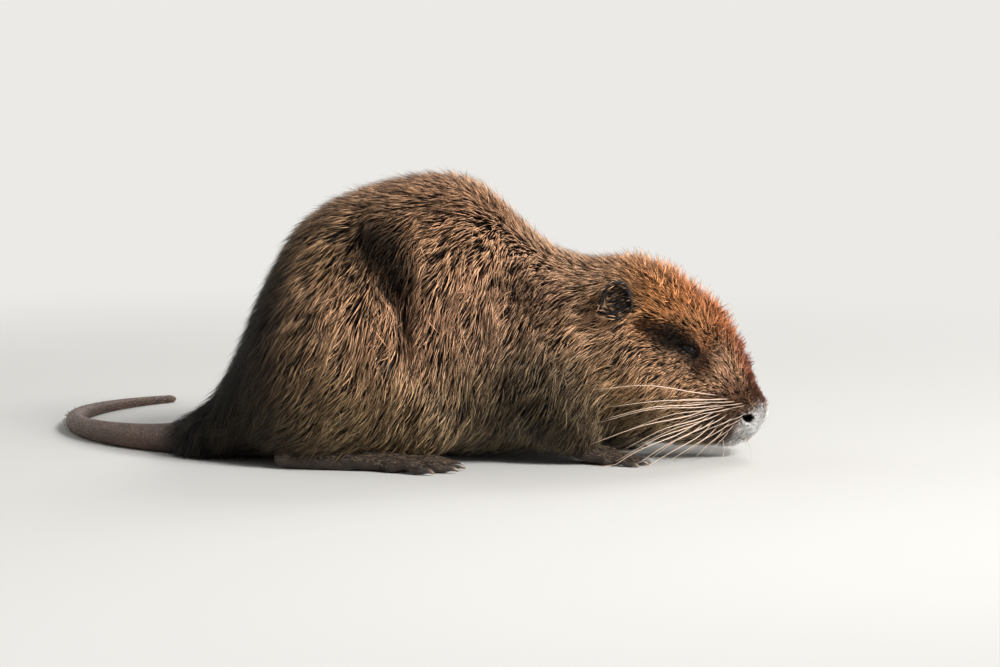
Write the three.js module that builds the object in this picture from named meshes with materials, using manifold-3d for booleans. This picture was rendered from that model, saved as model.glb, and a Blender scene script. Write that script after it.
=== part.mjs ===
// A coypu (Myocastor coypus) feeding in a crouch, life size, as a still museum model.
// Millimetres, +Z up, the head towards +X and the animal's left towards +Y. The floor is z = 0.
// The solids follow the outside of the coat. The body is one rounded form, worked out as a
// blend of named masses, and is then parted into head, neck, trunk, legs, feet and tail by thin cuts.
import * as THREE from "three";
import { mergeVertices } from "three/addons/utils/BufferGeometryUtils.js";
import Module from "manifold-3d";

const wasm = await Module();
wasm.setup();

// ---- Driving dimensions -------------------------------------------------------------------

const GAP = 0.4; // the thin cut between two neighbouring pieces
const BIG = 1200; // side of a cutting block, larger than the whole animal

const nose = new THREE.Vector3(222, 0, 30); // front of the nose pad
const headPitch = THREE.MathUtils.degToRad(30); // how far the snout points below level

// Places on the head are measured back from the nose, up from the head's axis and out to a side.
const eye = { along: 67, up: 14, radius: 7, sunk: 5, slant: 0.35 };
const eyeSocket = new THREE.Vector3(9, 6, 6.5); // half sizes of the hollow in front of the ball
const ear = {
  along: 124,
  up: 20.5,
  out: 9,
  width: 24,
  height: 28,
  depth: 13,
  wall: 2.2,
  forward: 0.5, // how far the cup's mouth turns forward, and how far it tips up, in radians
  lift: 0.25,
};
const nostril = { along: 6.5, up: -8.5, side: 9.5, radii: new THREE.Vector3(3.2, 3, 2.6) };

const tailLength = 338;
const tailRoot = new THREE.Vector2(-150, 0); // where the tail leaves the rump, seen from above
const tailTurns = { from: 20, to: 142 }; // heading in degrees, from straight back towards the left
const tailRadius = { root: 11, tip: 3, flare: 7 }; // the flare widens the tail into the rump
const tailFlat = 0.8; // how much of the tail's underside is flat on the floor

const claw = { length: 7.5, radius: 1.9, droop: 2 };

// Upright sections of the trunk: where, highest and lowest point, half width, and the level of
// the greatest width as a share of the height.
const trunkSections = [
  { at: -160, top: 26, bottom: 2, half: 16, widest: 0.5 }, // root of the tail
  { at: -148, top: 36, bottom: 2, half: 27, widest: 0.45 },
  { at: -130, top: 65, bottom: 3, half: 50, widest: 0.42 }, // under the rump
  { at: -106, top: 121, bottom: 4, half: 70, widest: 0.4 }, // rump
  { at: -84, top: 158, bottom: 5, half: 79, widest: 0.4 },
  { at: -48, top: 178, bottom: 6, half: 82, widest: 0.4 }, // hips
  { at: 0, top: 190, bottom: 6, half: 82, widest: 0.42 }, // top of the hunched back
  { at: 32, top: 185, bottom: 6, half: 77, widest: 0.42 }, // last ribs
  { at: 60, top: 160, bottom: 6, half: 68, widest: 0.42 },
  { at: 84, top: 140, bottom: 7, half: 59, widest: 0.44 }, // shoulders
  { at: 112, top: 131, bottom: 9, half: 52, widest: 0.46 }, // neck
  { at: 140, top: 116, bottom: 12, half: 46, widest: 0.46 }, // inside the head
];

// Sections square to the head's axis, from the nose back.
const headSections = [
  { at: -3, top: 5, bottom: -19, half: 14, widest: 0.5 }, // front of the nose and lips
  { at: 4, top: 9, bottom: -27, half: 19, widest: 0.48 },
  { at: 11, top: 13, bottom: -31, half: 23, widest: 0.45 },
  { at: 22, top: 22, bottom: -35, half: 27, widest: 0.42 }, // whisker pads
  { at: 38, top: 34, bottom: -40, half: 31, widest: 0.42 }, // bridge of the nose
  { at: 56, top: 44, bottom: -47, half: 38, widest: 0.44 },
  { at: 76, top: 49, bottom: -52, half: 46, widest: 0.44 }, // eyes and cheeks
  { at: 98, top: 51, bottom: -56, half: 51, widest: 0.44 },
  { at: 118, top: 49, bottom: -58, half: 52, widest: 0.46 }, // ears
  { at: 142, top: 38, bottom: -54, half: 50, widest: 0.48 }, // nape
];

// ---- Distances: below 0 inside a mass, above 0 outside ------------------------------------

const V = (x, y, z) => new THREE.Vector3(x, y, z);
const clamp = THREE.MathUtils.clamp;
const lerp = THREE.MathUtils.lerp;

// The nearer of two masses, with the valley between them filled over a width.
function join(a, b, width) {
  const h = Math.max(width - Math.abs(a - b), 0) / width;
  return Math.min(a, b) - (h * h * h * width) / 6;
}

// Mass a with mass b hollowed out of it, with a rounded lip.
function hollow(a, b, width) {
  return -join(-a, b, width);
}

// A smooth curve through a named measure of the sections.
function measure(sections, name, at) {
  const last = sections.length - 1;
  const s = clamp(at, sections[0].at, sections[last].at);
  let i = 0;
  while (i < last - 1 && s > sections[i + 1].at) i++;
  const slope = (k) => {
    const before = sections[Math.max(k - 1, 0)];
    const after = sections[Math.min(k + 1, last)];
    return (after[name] - before[name]) / (after.at - before.at);
  };
  const [p, q] = [sections[i], sections[i + 1]];
  const span = q.at - p.at;
  const t = (s - p.at) / span;
  const [t2, t3] = [t * t, t * t * t];
  return (
    p[name] * (2 * t3 - 3 * t2 + 1) +
    slope(i) * span * (t3 - 2 * t2 + t) +
    q[name] * (3 * t2 - 2 * t3) +
    slope(i + 1) * span * (t3 - t2)
  );
}

// A form carried along an axis: along, up and side are a point's places in its frame.
function loft(sections, rounding, fullness, along, up, side) {
  const first = sections[0].at + rounding;
  const last = sections[sections.length - 1].at - rounding;
  const at = clamp(along, first, last);
  const top = measure(sections, "top", at) - rounding;
  const bottom = measure(sections, "bottom", at) + rounding;
  const half = measure(sections, "half", at) - rounding;
  const middle = lerp(bottom, top, measure(sections, "widest", at));
  const rise = up > middle ? top - middle : middle - bottom;
  const [a, b] = [Math.abs(side) / half, Math.abs(up - middle) / rise];
  const q = Math.max((a ** fullness + b ** fullness) ** (1 / fullness), 1e-3);
  const around = Math.hypot(side, up - middle) * (1 - 1 / q);
  const past = Math.abs(along - at);
  if (past === 0) return around - rounding;
  return Math.hypot(Math.max(around, 0), past) - rounding + Math.min(around, 0) * 0.001;
}

function ellipsoid(p, centre, radii) {
  const d = V(p.x - centre.x, p.y - centre.y, p.z - centre.z);
  const k0 = Math.hypot(d.x / radii.x, d.y / radii.y, d.z / radii.z);
  const k1 = Math.hypot(d.x / radii.x ** 2, d.y / radii.y ** 2, d.z / radii.z ** 2);
  return k1 === 0 ? -Math.min(radii.x, radii.y, radii.z) : (k0 * (k0 - 1)) / k1;
}

// A limb from a to b, radius ra to rb. flatten below 1 makes it lower than it is wide.
function limb(p, a, b, ra, rb, flatten = 1) {
  const ab = V(b.x - a.x, b.y - a.y, b.z - a.z);
  const ap = V(p.x - a.x, p.y - a.y, p.z - a.z);
  const t = clamp(ap.dot(ab) / ab.lengthSq(), 0, 1);
  const off = ap.addScaledVector(ab, -t);
  off.z /= flatten;
  return (off.length() - lerp(ra, rb, t)) * flatten;
}

// ---- The head's own frame -----------------------------------------------------------------

const headBack = V(-Math.cos(headPitch), 0, Math.sin(headPitch));
const headUp = V(Math.sin(headPitch), 0, Math.cos(headPitch));

const inHead = (along, up, side) =>
  nose.clone().addScaledVector(headBack, along).addScaledVector(headUp, up).setY(side);

function toHead(p) {
  const d = V(p.x - nose.x, 0, p.z - nose.z);
  return { along: d.dot(headBack), up: d.dot(headUp), side: p.y };
}

// ---- The body's masses --------------------------------------------------------------------

// Both sides of the body are alike, so one side's masses serve for both.
const mirrored = (p) => V(p.x, Math.abs(p.y), p.z);

const haunch = { centre: V(-56, 50, 66), radii: V(62, 38.5, 66) };
const knee = { from: V(-28, 58, 62), to: V(6, 63, 34), fromR: 30, toR: 20 };
const shank = { from: V(2, 63, 31), to: V(-88, 61, 20), fromR: 19, toR: 15 };
const flankCrease = { from: V(-34, 92, 168), to: V(-6, 100, 92), fromR: 13, toR: 13 };
const upperArm = { centre: V(84, 42, 54), radii: V(30, 20, 42) };
const forearm = { from: V(88, 44, 36), to: V(103, 42, 13), fromR: 19, toR: 11 };
const cheek = { at: [84, -18, 30], radii: V(28, 22, 24) };
const jowl = { at: [50, -24, 16], radii: V(30, 19, 20) };
const whiskerPad = { at: [17, -13, 14], radius: 12.5 };
const brow = { at: [72, 24, 28], radius: 12 };
const throat = { from: V(120, 0, 44), to: V(176, 0, 36), fromR: 33, toR: 25 };

function tailHeading(s) {
  const share = s / tailLength;
  return THREE.MathUtils.degToRad(lerp(tailTurns.from, tailTurns.to, share));
}

const tailRadiusAt = (s) =>
  lerp(tailRadius.root, tailRadius.tip, (s / tailLength) ** 0.8) + tailRadius.flare * Math.exp(-s / 16);

// The tail's centre line, which comes down from the rump and then lies along the floor.
const TAIL_STEPS = 20;
const tailLine = [];
for (let i = 0, at = tailRoot.clone(); i <= TAIL_STEPS; i++) {
  const step = tailLength / TAIL_STEPS;
  const s = i * step;
  const r = tailRadiusAt(s);
  tailLine.push({ r, centre: V(at.x, at.y, r - tailFlat) });
  at.add(new THREE.Vector2(-Math.cos(tailHeading(s)), Math.sin(tailHeading(s))).multiplyScalar(step));
}
tailLine.forEach((ring, i) => {
  const before = tailLine[Math.max(i - 1, 0)].centre;
  const after = tailLine[Math.min(i + 1, TAIL_STEPS)].centre;
  ring.along = after.clone().sub(before).normalize();
});

function headMass(p) {
  const h = toHead(p);
  const m = V(h.along, Math.abs(h.side), h.up);
  const place = ({ at }) => V(at[0], at[2], at[1]);
  let d = loft(headSections, 5, 2.15, h.along, h.up, h.side);
  d = join(d, ellipsoid(m, place(cheek), cheek.radii), 14);
  d = join(d, ellipsoid(m, place(jowl), jowl.radii), 12);
  d = join(d, m.distanceTo(place(whiskerPad)) - whiskerPad.radius, 8);
  d = join(d, m.distanceTo(place(brow)) - brow.radius, 10);
  return join(d, limb(p, throat.from, throat.to, throat.fromR, throat.toR), 16);
}

function body(p) {
  const m = mirrored(p);
  const part = ({ from, to, fromR, toR }) => limb(m, from, to, fromR, toR);
  let d = loft(trunkSections, 6, 2.15, p.x, p.z, p.y);
  d = join(d, ellipsoid(m, haunch.centre, haunch.radii), 16);
  d = join(d, part(knee), 14);
  d = join(d, part(shank), 12);
  d = hollow(d, part(flankCrease), 22);
  d = join(d, ellipsoid(m, upperArm.centre, upperArm.radii), 14);
  d = join(d, part(forearm), 10);
  for (let i = 0; i < 3; i++) {
    const [a, b] = [tailLine[i], tailLine[i + 1]];
    d = join(d, limb(p, a.centre, b.centre, a.r, b.r), 12);
  }
  return join(d, headMass(p), 18);
}

// ---- Feet, each in its own frame: x forward from the heel, y outward, z up -----------------

const hindFoot = {
  name: "hind",
  heel: [-101, 58],
  turn: 7, // degrees, toes outwards
  length: 100,
  height: 20,
  cell: 9,
  palm: hindPalm,
  knuckle: 6,
  around: 5,
  clawScale: 1,
  // Toes from the inner one out: where each leaves the foot, its tip, and its thickness.
  digits: [
    { root: [84, -10], tip: [104, -21], r: 4.1 },
    { root: [88, -5], tip: [115, -12], r: 4.4 },
    { root: [90, 1], tip: [119, -1], r: 4.5 },
    { root: [89, 7], tip: [116, 10], r: 4.4 },
    { root: [80, 11], tip: [102, 20], r: 4.2 },
  ],
  webs: 3, // the outer toe is free
};

const foreFoot = {
  name: "fore",
  heel: [98, 39],
  turn: 5,
  length: 34,
  height: 12,
  cell: 6.6,
  palm: forePalm,
  knuckle: 4.6,
  around: 5,
  clawScale: 0.85,
  digits: [
    { root: [13, -6], tip: [20, -13], r: 2.4 },
    { root: [22, -6], tip: [38, -12], r: 2.8 },
    { root: [25, -2.5], tip: [43, -4.5], r: 2.9 },
    { root: [25, 2.5], tip: [42, 3.5], r: 2.9 },
    { root: [22, 6.5], tip: [36, 11.5], r: 2.8 },
  ],
  webs: 0,
};

function hindPalm(p) {
  const sole = limb(p, V(9, 0, 8.5), V(50, 0, 7.5), 10.5, 11.5, 0.85);
  const ball = join(
    limb(p, V(50, 0, 7.5), V(84, 0, 6), 11.5, 13.5, 0.62),
    limb(p, V(78, -6, 5.5), V(80, 7, 5.5), 9, 9, 0.7),
    6,
  );
  return join(sole, ball, 8);
}

function forePalm(p) {
  const wrist = limb(p, V(5, 0, 7), V(21, 0, 5.5), 9, 9, 0.72);
  return join(wrist, limb(p, V(20, -4, 5), V(20, 4, 5), 7, 7, 0.75), 4);
}

// Places a foot's frame in the animal: the foot's inner and outer sides swap on the right.
function footFrame({ heel: at, turn }, side) {
  const angle = THREE.MathUtils.degToRad(turn) * side;
  const [c, s] = [Math.cos(angle), Math.sin(angle)];
  return {
    toFoot: (p) => {
      const [x, y] = [p.x - at[0], p.y - at[1] * side];
      return V(x * c + y * s, (y * c - x * s) * side, p.z);
    },
    toAnimal: (p) => V(at[0] + p.x * c - p.y * side * s, at[1] * side + p.x * s + p.y * side * c, p.z),
  };
}

// ---- From a distance to a closed mesh -----------------------------------------------------

// The corners of a grid cell, its edges as pairs of corners, and the edges round each face.
const CORNERS = [0, 1, 2, 3, 4, 5, 6, 7].map((c) => [c & 1, (c >> 1) & 1, (c >> 2) & 1]);
const EDGES = CORNERS.flatMap((_, a) => [1, 2, 4].filter((bit) => !(a & bit)).map((bit) => [a, a | bit]));
const FACES = [0, 1, 2].flatMap((axis) =>
  [0, 1].map((level) => EDGES.filter((edge) => edge.every((c) => CORNERS[c][axis] === level))),
);

// The crossed edges of a cell in groups, one for each sheet of surface that passes through it.
function sheets(v) {
  const crossed = EDGES.filter(([a, b]) => v[a] < 0 !== v[b] < 0);
  const groupOf = new Map(crossed.map((edge) => [edge, [edge]]));
  const unite = (e, f) => {
    const [into, from] = [groupOf.get(e), groupOf.get(f)];
    if (into === from) return;
    into.push(...from);
    for (const edge of from) groupOf.set(edge, into);
  };
  for (const face of FACES) {
    const here = face.filter((edge) => groupOf.has(edge));
    if (here.length === 2) unite(here[0], here[1]);
    if (here.length !== 4) continue;
    for (const c of new Set(face.flat()))
      if (v[c] < 0) unite(...here.filter((edge) => edge.includes(c)));
  }
  return new Set(groupOf.values());
}

// A surface net: one vertex for each sheet of surface in a grid cell, drawn onto the surface,
// and one quad round each grid edge that crosses it. The rim of the box counts as outside.
function surfaceNet(field, box, cell) {
  const size = box.getSize(V(0, 0, 0));
  const n = [size.x, size.y, size.z].map((x) => Math.ceil(x / cell) + 1);
  const at = (i, j, k) => V(box.min.x + i * cell, box.min.y + j * cell, box.min.z + k * cell);
  const index = (i, j, k) => (k * n[1] + j) * n[0] + i;
  const values = new Float64Array(n[0] * n[1] * n[2]);
  for (let k = 0; k < n[2]; k++)
    for (let j = 0; j < n[1]; j++)
      for (let i = 0; i < n[0]; i++) {
        const rim = [i, j, k].some((v, axis) => v === 0 || v === n[axis] - 1);
        const value = field(at(i, j, k));
        values[index(i, j, k)] = rim ? Math.max(value, cell * 0.3) : value;
      }

  const positions = [];
  const vertexOf = new Map(); // by cell and grid edge
  const edgeKey = (corner, axis) => corner * 3 + axis;
  const key = (cellIndex, edge) => cellIndex * values.length * 3 + edge;
  for (let k = 0; k + 1 < n[2]; k++)
    for (let j = 0; j + 1 < n[1]; j++)
      for (let i = 0; i + 1 < n[0]; i++) {
        const ids = CORNERS.map(([x, y, z]) => index(i + x, j + y, k + z));
        const v = ids.map((id) => values[id]);
        for (const sheet of sheets(v)) {
          const sum = V(0, 0, 0);
          for (const [a, b] of sheet) {
            const t = v[a] / (v[a] - v[b]);
            sum.add(V(...CORNERS[a].map((from, axis) => lerp(from, CORNERS[b][axis], t))));
            vertexOf.set(key(ids[0], edgeKey(ids[a], Math.log2(b - a))), positions.length / 3);
          }
          const p = at(i, j, k).addScaledVector(sum, cell / sheet.length);
          positions.push(...ontoSurface(field, p, cell).toArray());
        }
      }

  const faces = [];
  const quad = (ids, flip) => {
    if (flip) ids.reverse();
    const point = (id) => V(...positions.slice(id * 3, id * 3 + 3));
    const short = point(ids[0]).distanceTo(point(ids[2])) < point(ids[1]).distanceTo(point(ids[3]));
    const [p, q, r, s] = short ? ids : [ids[1], ids[2], ids[3], ids[0]];
    faces.push(p, q, r, p, r, s);
  };
  const steps = [1, n[0], n[0] * n[1]];
  for (let k = 0; k + 1 < n[2]; k++)
    for (let j = 0; j + 1 < n[1]; j++)
      for (let i = 0; i + 1 < n[0]; i++)
        for (let axis = 0; axis < 3; axis++) {
          const here = index(i, j, k);
          const inside = values[here] < 0;
          if (values[here + steps[axis]] < 0 === inside) continue;
          const [u, w] = [steps[(axis + 1) % 3], steps[(axis + 2) % 3]];
          const around = [here, here - u, here - u - w, here - w];
          quad(around.map((c) => vertexOf.get(key(c, edgeKey(here, axis)))), !inside);
        }
  const geometry = new THREE.BufferGeometry();
  geometry.setAttribute("position", new THREE.Float32BufferAttribute(positions, 3));
  geometry.setIndex(faces);
  return geometry;
}

// Two short steps along the slope of the distance. Points on a cut side of the box stay there.
function ontoSurface(field, p, cell) {
  const e = cell * 0.05;
  for (let turn = 0; turn < 2; turn++) {
    const f = field(p);
    if (Math.abs(f) > cell * 0.5) return p;
    const slope = V(
      field(V(p.x + e, p.y, p.z)) - field(V(p.x - e, p.y, p.z)),
      field(V(p.x, p.y + e, p.z)) - field(V(p.x, p.y - e, p.z)),
      field(V(p.x, p.y, p.z + e)) - field(V(p.x, p.y, p.z - e)),
    ).divideScalar(2 * e);
    p = p.clone().addScaledVector(slope, -f / Math.max(slope.lengthSq(), 0.2));
  }
  return p;
}

// ---- Solids -------------------------------------------------------------------------------

function solidOf(geometry) {
  const bare = new THREE.BufferGeometry().setAttribute("position", geometry.getAttribute("position"));
  bare.setIndex(geometry.index);
  const merged = mergeVertices(bare, 1e-4);
  return new wasm.Manifold(
    new wasm.Mesh({
      numProp: 3,
      vertProperties: new Float32Array(merged.attributes.position.array),
      triVerts: new Uint32Array(merged.index.array),
    }),
  );
}

const bounds = (x0, y0, z0, x1, y1, z1) => new THREE.Box3(V(x0, y0, z0), V(x1, y1, z1));
const netSolid = (field, box, cell) => solidOf(surfaceNet(field, box, cell));

// Everything on the side of a plane that its normal points to, as one large block.
function sideOf(point, normal, offset = 0) {
  const n = normal.clone().normalize();
  const block = new THREE.BoxGeometry(BIG, BIG, BIG);
  const turn = new THREE.Quaternion().setFromUnitVectors(V(0, 0, 1), n);
  const centre = point.clone().addScaledVector(n, BIG / 2 + offset);
  block.applyMatrix4(new THREE.Matrix4().compose(centre, turn, V(1, 1, 1)));
  return solidOf(block);
}

// A smooth egg-shaped cutter.
function egg(centre, radii, turn = new THREE.Quaternion(), across = 14, down = 10) {
  const ball = new THREE.SphereGeometry(1, across, down);
  ball.applyMatrix4(new THREE.Matrix4().compose(centre, turn, radii));
  return solidOf(ball);
}

// A round bar through rings that carry their own centre, radius and direction, with closed ends.
function taperedBar(rings, sides) {
  const positions = [];
  const faces = [];
  const up = V(0, 0, 1);
  rings.forEach(({ centre, r, along }) => {
    const side = along.clone().cross(up).normalize();
    const over = side.clone().cross(along);
    for (let k = 0; k < sides; k++) {
      const a = (k / sides) * 2 * Math.PI;
      const out = side.clone().multiplyScalar(Math.cos(a)).addScaledVector(over, Math.sin(a));
      positions.push(...centre.clone().addScaledVector(out, r).toArray());
    }
  });
  for (let i = 0; i + 1 < rings.length; i++)
    for (let k = 0; k < sides; k++) {
      const [a, b] = [i * sides + k, i * sides + ((k + 1) % sides)];
      faces.push(a, b + sides, b, a, a + sides, b + sides);
    }
  for (const [ring, flip] of [[0, true], [rings.length - 1, false]]) {
    const middle = positions.length / 3;
    positions.push(...rings[ring].centre.toArray());
    for (let k = 0; k < sides; k++) {
      const [a, b] = [ring * sides + k, ring * sides + ((k + 1) % sides)];
      faces.push(...(flip ? [middle, a, b] : [middle, b, a]));
    }
  }
  const geometry = new THREE.BufferGeometry();
  geometry.setAttribute("position", new THREE.Float32BufferAttribute(positions, 3));
  geometry.setIndex(faces);
  return solidOf(geometry);
}

// The same through points that carry only a centre and a radius, made longer by a margin.
function barThrough(points, sides, margin) {
  const rings = points.map((point, i) => {
    const before = points[Math.max(i - 1, 0)].centre;
    const after = points[Math.min(i + 1, points.length - 1)].centre;
    return { ...point, along: after.clone().sub(before).normalize() };
  });
  rings[0].centre.addScaledVector(rings[0].along, -margin);
  rings[rings.length - 1].centre.addScaledVector(rings[rings.length - 1].along, margin);
  return taperedBar(rings, sides);
}

const aboveFloor = sideOf(V(0, 0, 0), V(0, 0, 1));

// ---- Materials ----------------------------------------------------------------------------

const finish = (color, roughness) => new THREE.MeshStandardMaterial({ color, roughness, metalness: 0 });
const materials = {
  fur: finish(0x6e4a33, 0.85),
  faceFur: finish(0x8a5a36, 0.85),
  muzzleSkin: finish(0xb9aca0, 0.6),
  bareSkin: finish(0x3b332f, 0.6),
  tailSkin: finish(0x55443b, 0.7),
  eye: finish(0x140d0a, 0.1),
  claw: finish(0x4a3d33, 0.4),
};

const model = new THREE.Group();

function add(name, solid, material) {
  const cut = solid.getMesh();
  const geometry = new THREE.BufferGeometry();
  const points = new Float32Array(cut.numVert * 3);
  for (let i = 0; i < cut.numVert; i++)
    points.set(cut.vertProperties.subarray(i * cut.numProp, i * cut.numProp + 3), i * 3);
  geometry.setAttribute("position", new THREE.BufferAttribute(points, 3));
  geometry.setIndex(new THREE.BufferAttribute(cut.triVerts, 1));
  geometry.computeVertexNormals();
  const mesh = new THREE.Mesh(geometry, material);
  mesh.name = name;
  model.add(mesh);
}

// The largest body of a solid, without the crumbs that a cut can leave.
function largest(solid) {
  const bodies = solid.decompose();
  return bodies.reduce((a, b) => (a.volume() > b.volume() ? a : b));
}

// ---- Cuts ---------------------------------------------------------------------------------

const sides = [
  ["right", -1],
  ["left", 1],
];
const neckCut = { point: V(103, 0, 90), normal: V(1, 0, -0.2) };
const shoulderCut = { point: V(66, 0, 100), normal: V(1, 0, -0.25) };
const muzzleCut = { point: inHead(9, 0, 0), normal: headBack.clone().negate() };
const lipCut = { point: inHead(0, -15, 0), normal: headUp };
const ahead = (cut) => sideOf(cut.point, cut.normal, GAP / 2);
const behind = (cut) => sideOf(cut.point, cut.normal.clone().negate(), GAP / 2);

// ---- Feet and claws -----------------------------------------------------------------------

// A digit leaves the foot at its knuckle, bends down and rests on the floor. With a margin it
// is the room that the rest of the body leaves for it.
function digitBar({ root, tip, r }, foot, frame, margin = 0) {
  const stations = [
    { share: -0.2, z: foot.knuckle, width: 1.05 },
    { share: 0.45, z: r + 2.2, width: 1.05 },
    { share: 0.82, z: r - 0.4, width: 1 },
    { share: 1, z: r - 0.8, width: 0.55 },
  ];
  return barThrough(
    stations.map(({ share, z, width }) => ({
      centre: frame.toAnimal(V(lerp(root[0], tip[0], share), lerp(root[1], tip[1], share), z)),
      r: r * width + margin,
    })),
    foot.around,
    margin,
  );
}

// A claw grows forward from the end of its digit and droops.
function clawBar({ root, tip, r }, foot, frame, margin = 0) {
  const aim = new THREE.Vector2(tip[0] - root[0], tip[1] - root[1]).normalize();
  const rings = [0, 0.5, 1].map((t) => {
    const reach = GAP + t * claw.length * foot.clawScale;
    const z = r - 0.4 - claw.droop * foot.clawScale * t * t;
    return {
      centre: frame.toAnimal(V(tip[0] + aim.x * reach, tip[1] + aim.y * reach, z)),
      r: claw.radius * foot.clawScale * (1 - t) ** 0.7 + 0.3 + margin,
    };
  });
  return barThrough(rings, 5, margin);
}

// The web is a low plate between neighbouring toes that ends short of their tips.
function webEgg(a, b, frame, side, margin = 0) {
  const from = V((a.root[0] + b.root[0]) / 2, (a.root[1] + b.root[1]) / 2, 2.2);
  const to = V(Math.min(a.tip[0], b.tip[0]) - 4, (a.tip[1] + b.tip[1]) / 2, 2.2);
  const bearing = Math.atan2(to.y - from.y, to.x - from.x) + THREE.MathUtils.degToRad(hindFoot.turn);
  const turn = new THREE.Quaternion().setFromAxisAngle(V(0, 0, 1), bearing * side);
  const radii = V(from.distanceTo(to) / 2 + 2, 5.2, 2).addScalar(margin);
  return egg(frame.toAnimal(from.lerp(to, 0.5)), radii, turn, 6, 4);
}

const rooms = []; // the room that each foot takes, with a gap round it
for (const [sideName, side] of sides)
  for (const foot of [hindFoot, foreFoot]) {
    const frame = footFrame(foot, side);
    const palm = (p) => foot.palm(frame.toFoot(p));
    const corners = [-8, foot.length + 8].flatMap((x) => [-26, 26].map((y) => frame.toAnimal(V(x, y, 0))));
    const box = new THREE.Box3().setFromPoints(corners);
    box.min.z = -foot.cell * 1.5;
    box.max.z = foot.height + 12;
    let solid = netSolid(palm, box, foot.cell);
    let room = netSolid((p) => palm(p) - 2 * GAP, box, foot.cell);
    for (const shape of foot.digits) {
      solid = solid.add(digitBar(shape, foot, frame));
      room = room.add(digitBar(shape, foot, frame, GAP)).add(clawBar(shape, foot, frame, GAP));
    }
    for (let i = 0; i < foot.webs; i++) {
      const [a, b] = foot.digits.slice(i, i + 2);
      solid = solid.add(webEgg(a, b, frame, side));
      room = room.add(webEgg(a, b, frame, side, GAP));
    }
    solid = solid.intersect(aboveFloor);
    add(`${foot.name}_foot_${sideName}`, largest(solid), materials.bareSkin);
    foot.digits.forEach((shape, i) =>
      add(`${foot.name}_claw_${sideName}_${i + 1}`, clawBar(shape, foot, frame), materials.claw),
    );
    rooms.push(room);
  }
const offFloor = sideOf(V(0, 0, 1.5), V(0, 0, 1)); // the coat ends just above the floor
const coated = (solid) =>
  largest(rooms.reduce((rest, room) => rest.subtract(room), solid.intersect(offFloor)));

// ---- Trunk, neck and legs -----------------------------------------------------------------

const hindLegEgg = (side, margin) =>
  egg(V(-50, 80 * side, 58), V(64, 44, 68).subScalar(margin));
const foreLegEgg = (side, margin) =>
  egg(V(96, 58 * side, 26), V(29, 30, 36).subScalar(margin));

const tailCut = { point: tailLine[1].centre, normal: tailLine[1].along };
const bodyNet = netSolid(body, bounds(-176, -122, -20, 150, 122, 220), 22);
const rumpNet = netSolid(body, bounds(-190, -72, -12, -104, 72, 84), 11);
const neckNet = netSolid(body, bounds(30, -98, -16, 150, 98, 184), 19);

const rumpEgg = (margin) => egg(V(-166, 0, 14), V(48, 52, 50).subScalar(margin));
let trunk = bodyNet.intersect(behind(shoulderCut)).subtract(rumpEgg(0));
let rump = rumpNet.intersect(rumpEgg(GAP)).intersect(behind(tailCut));
let neck = neckNet.intersect(ahead(shoulderCut)).intersect(behind(neckCut));
for (const [sideName, side] of sides) {
  trunk = trunk.subtract(hindLegEgg(side, 0)).subtract(foreLegEgg(side, 0));
  rump = rump.subtract(hindLegEgg(side, 0));
  neck = neck.subtract(foreLegEgg(side, 0));
  add(`hind_leg_${sideName}`, coated(bodyNet.intersect(hindLegEgg(side, GAP))), materials.fur);
  add(`fore_leg_${sideName}`, coated(neckNet.intersect(foreLegEgg(side, GAP))), materials.fur);
}
add("trunk", coated(trunk), materials.fur);
add("rump", coated(rump), materials.fur);
add("neck", coated(neck), materials.fur);

// ---- Tail ---------------------------------------------------------------------------------

const tailCuts = [1, 7, 13, TAIL_STEPS];
["base", "middle", "end"].forEach((name, i) => {
  const [from, to] = [tailCuts[i], tailCuts[i + 1]];
  const rings = tailLine.slice(from, to + 1).map((ring) => ({ ...ring, centre: ring.centre.clone() }));
  rings[0].centre.addScaledVector(rings[0].along, GAP);
  add(`tail_${name}`, taperedBar(rings, 8).intersect(aboveFloor), materials.tailSkin);
});

// ---- Head ---------------------------------------------------------------------------------

// How far out to the side the head's surface lies at a place in its frame.
function headSide(along, up) {
  let [inside, outside] = [0, 80];
  for (let i = 0; i < 30; i++) {
    const middle = (inside + outside) / 2;
    if (body(inHead(along, up, middle)) < 0) inside = middle;
    else outside = middle;
  }
  return inside;
}

const eyeSide = headSide(eye.along, eye.up) - eye.sunk;
const eyeCentre = (side) => inHead(eye.along, eye.up, eyeSide * side);
const nostrilAt = inHead(nostril.along, nostril.up, nostril.side);

// The head with the eye sockets and the nostrils hollowed out of it.
function face(p) {
  const m = mirrored(p);
  let d = body(p);
  const socket = ellipsoid(turnedToEye(m), V(0, 0, 0), eyeSocket);
  d = hollow(d, socket, 4);
  return hollow(d, ellipsoid(m, nostrilAt, nostril.radii), 1.5);
}

// The eye's opening slants down towards the nose.
function turnedToEye(m) {
  const d = m.clone().sub(inHead(eye.along, eye.up, eyeSide + eye.radius));
  return d.applyAxisAngle(V(0, 1, 0), -eye.slant);
}

const headNet = netSolid(face, bounds(62, -82, -16, 252, 82, 166), 13.2);
const muzzleNet = netSolid(face, bounds(184, -31, -3, 236, 31, 64), 5.6);
const muzzle = muzzleNet.intersect(ahead(muzzleCut)).intersect(ahead(lipCut));
const notMuzzle = sideOf(muzzleCut.point, muzzleCut.normal, -GAP / 2)
  .intersect(sideOf(lipCut.point, lipCut.normal, -GAP / 2));
let skull = headNet.intersect(ahead(neckCut)).subtract(notMuzzle);

const eyeBall = (side, margin, across, down) =>
  egg(eyeCentre(side), V(1, 1, 1).multiplyScalar(eye.radius + margin), undefined, across, down);
for (const [sideName, side] of sides) {
  skull = skull.subtract(foreLegEgg(side, 0)).subtract(eyeBall(side, GAP));
  add(`eye_${sideName}`, eyeBall(side, 0, 12, 8), materials.eye);
}
add("head", coated(skull), materials.faceFur);
add("nose", largest(muzzle), materials.muzzleSkin);

// ---- Ears ---------------------------------------------------------------------------------

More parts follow.
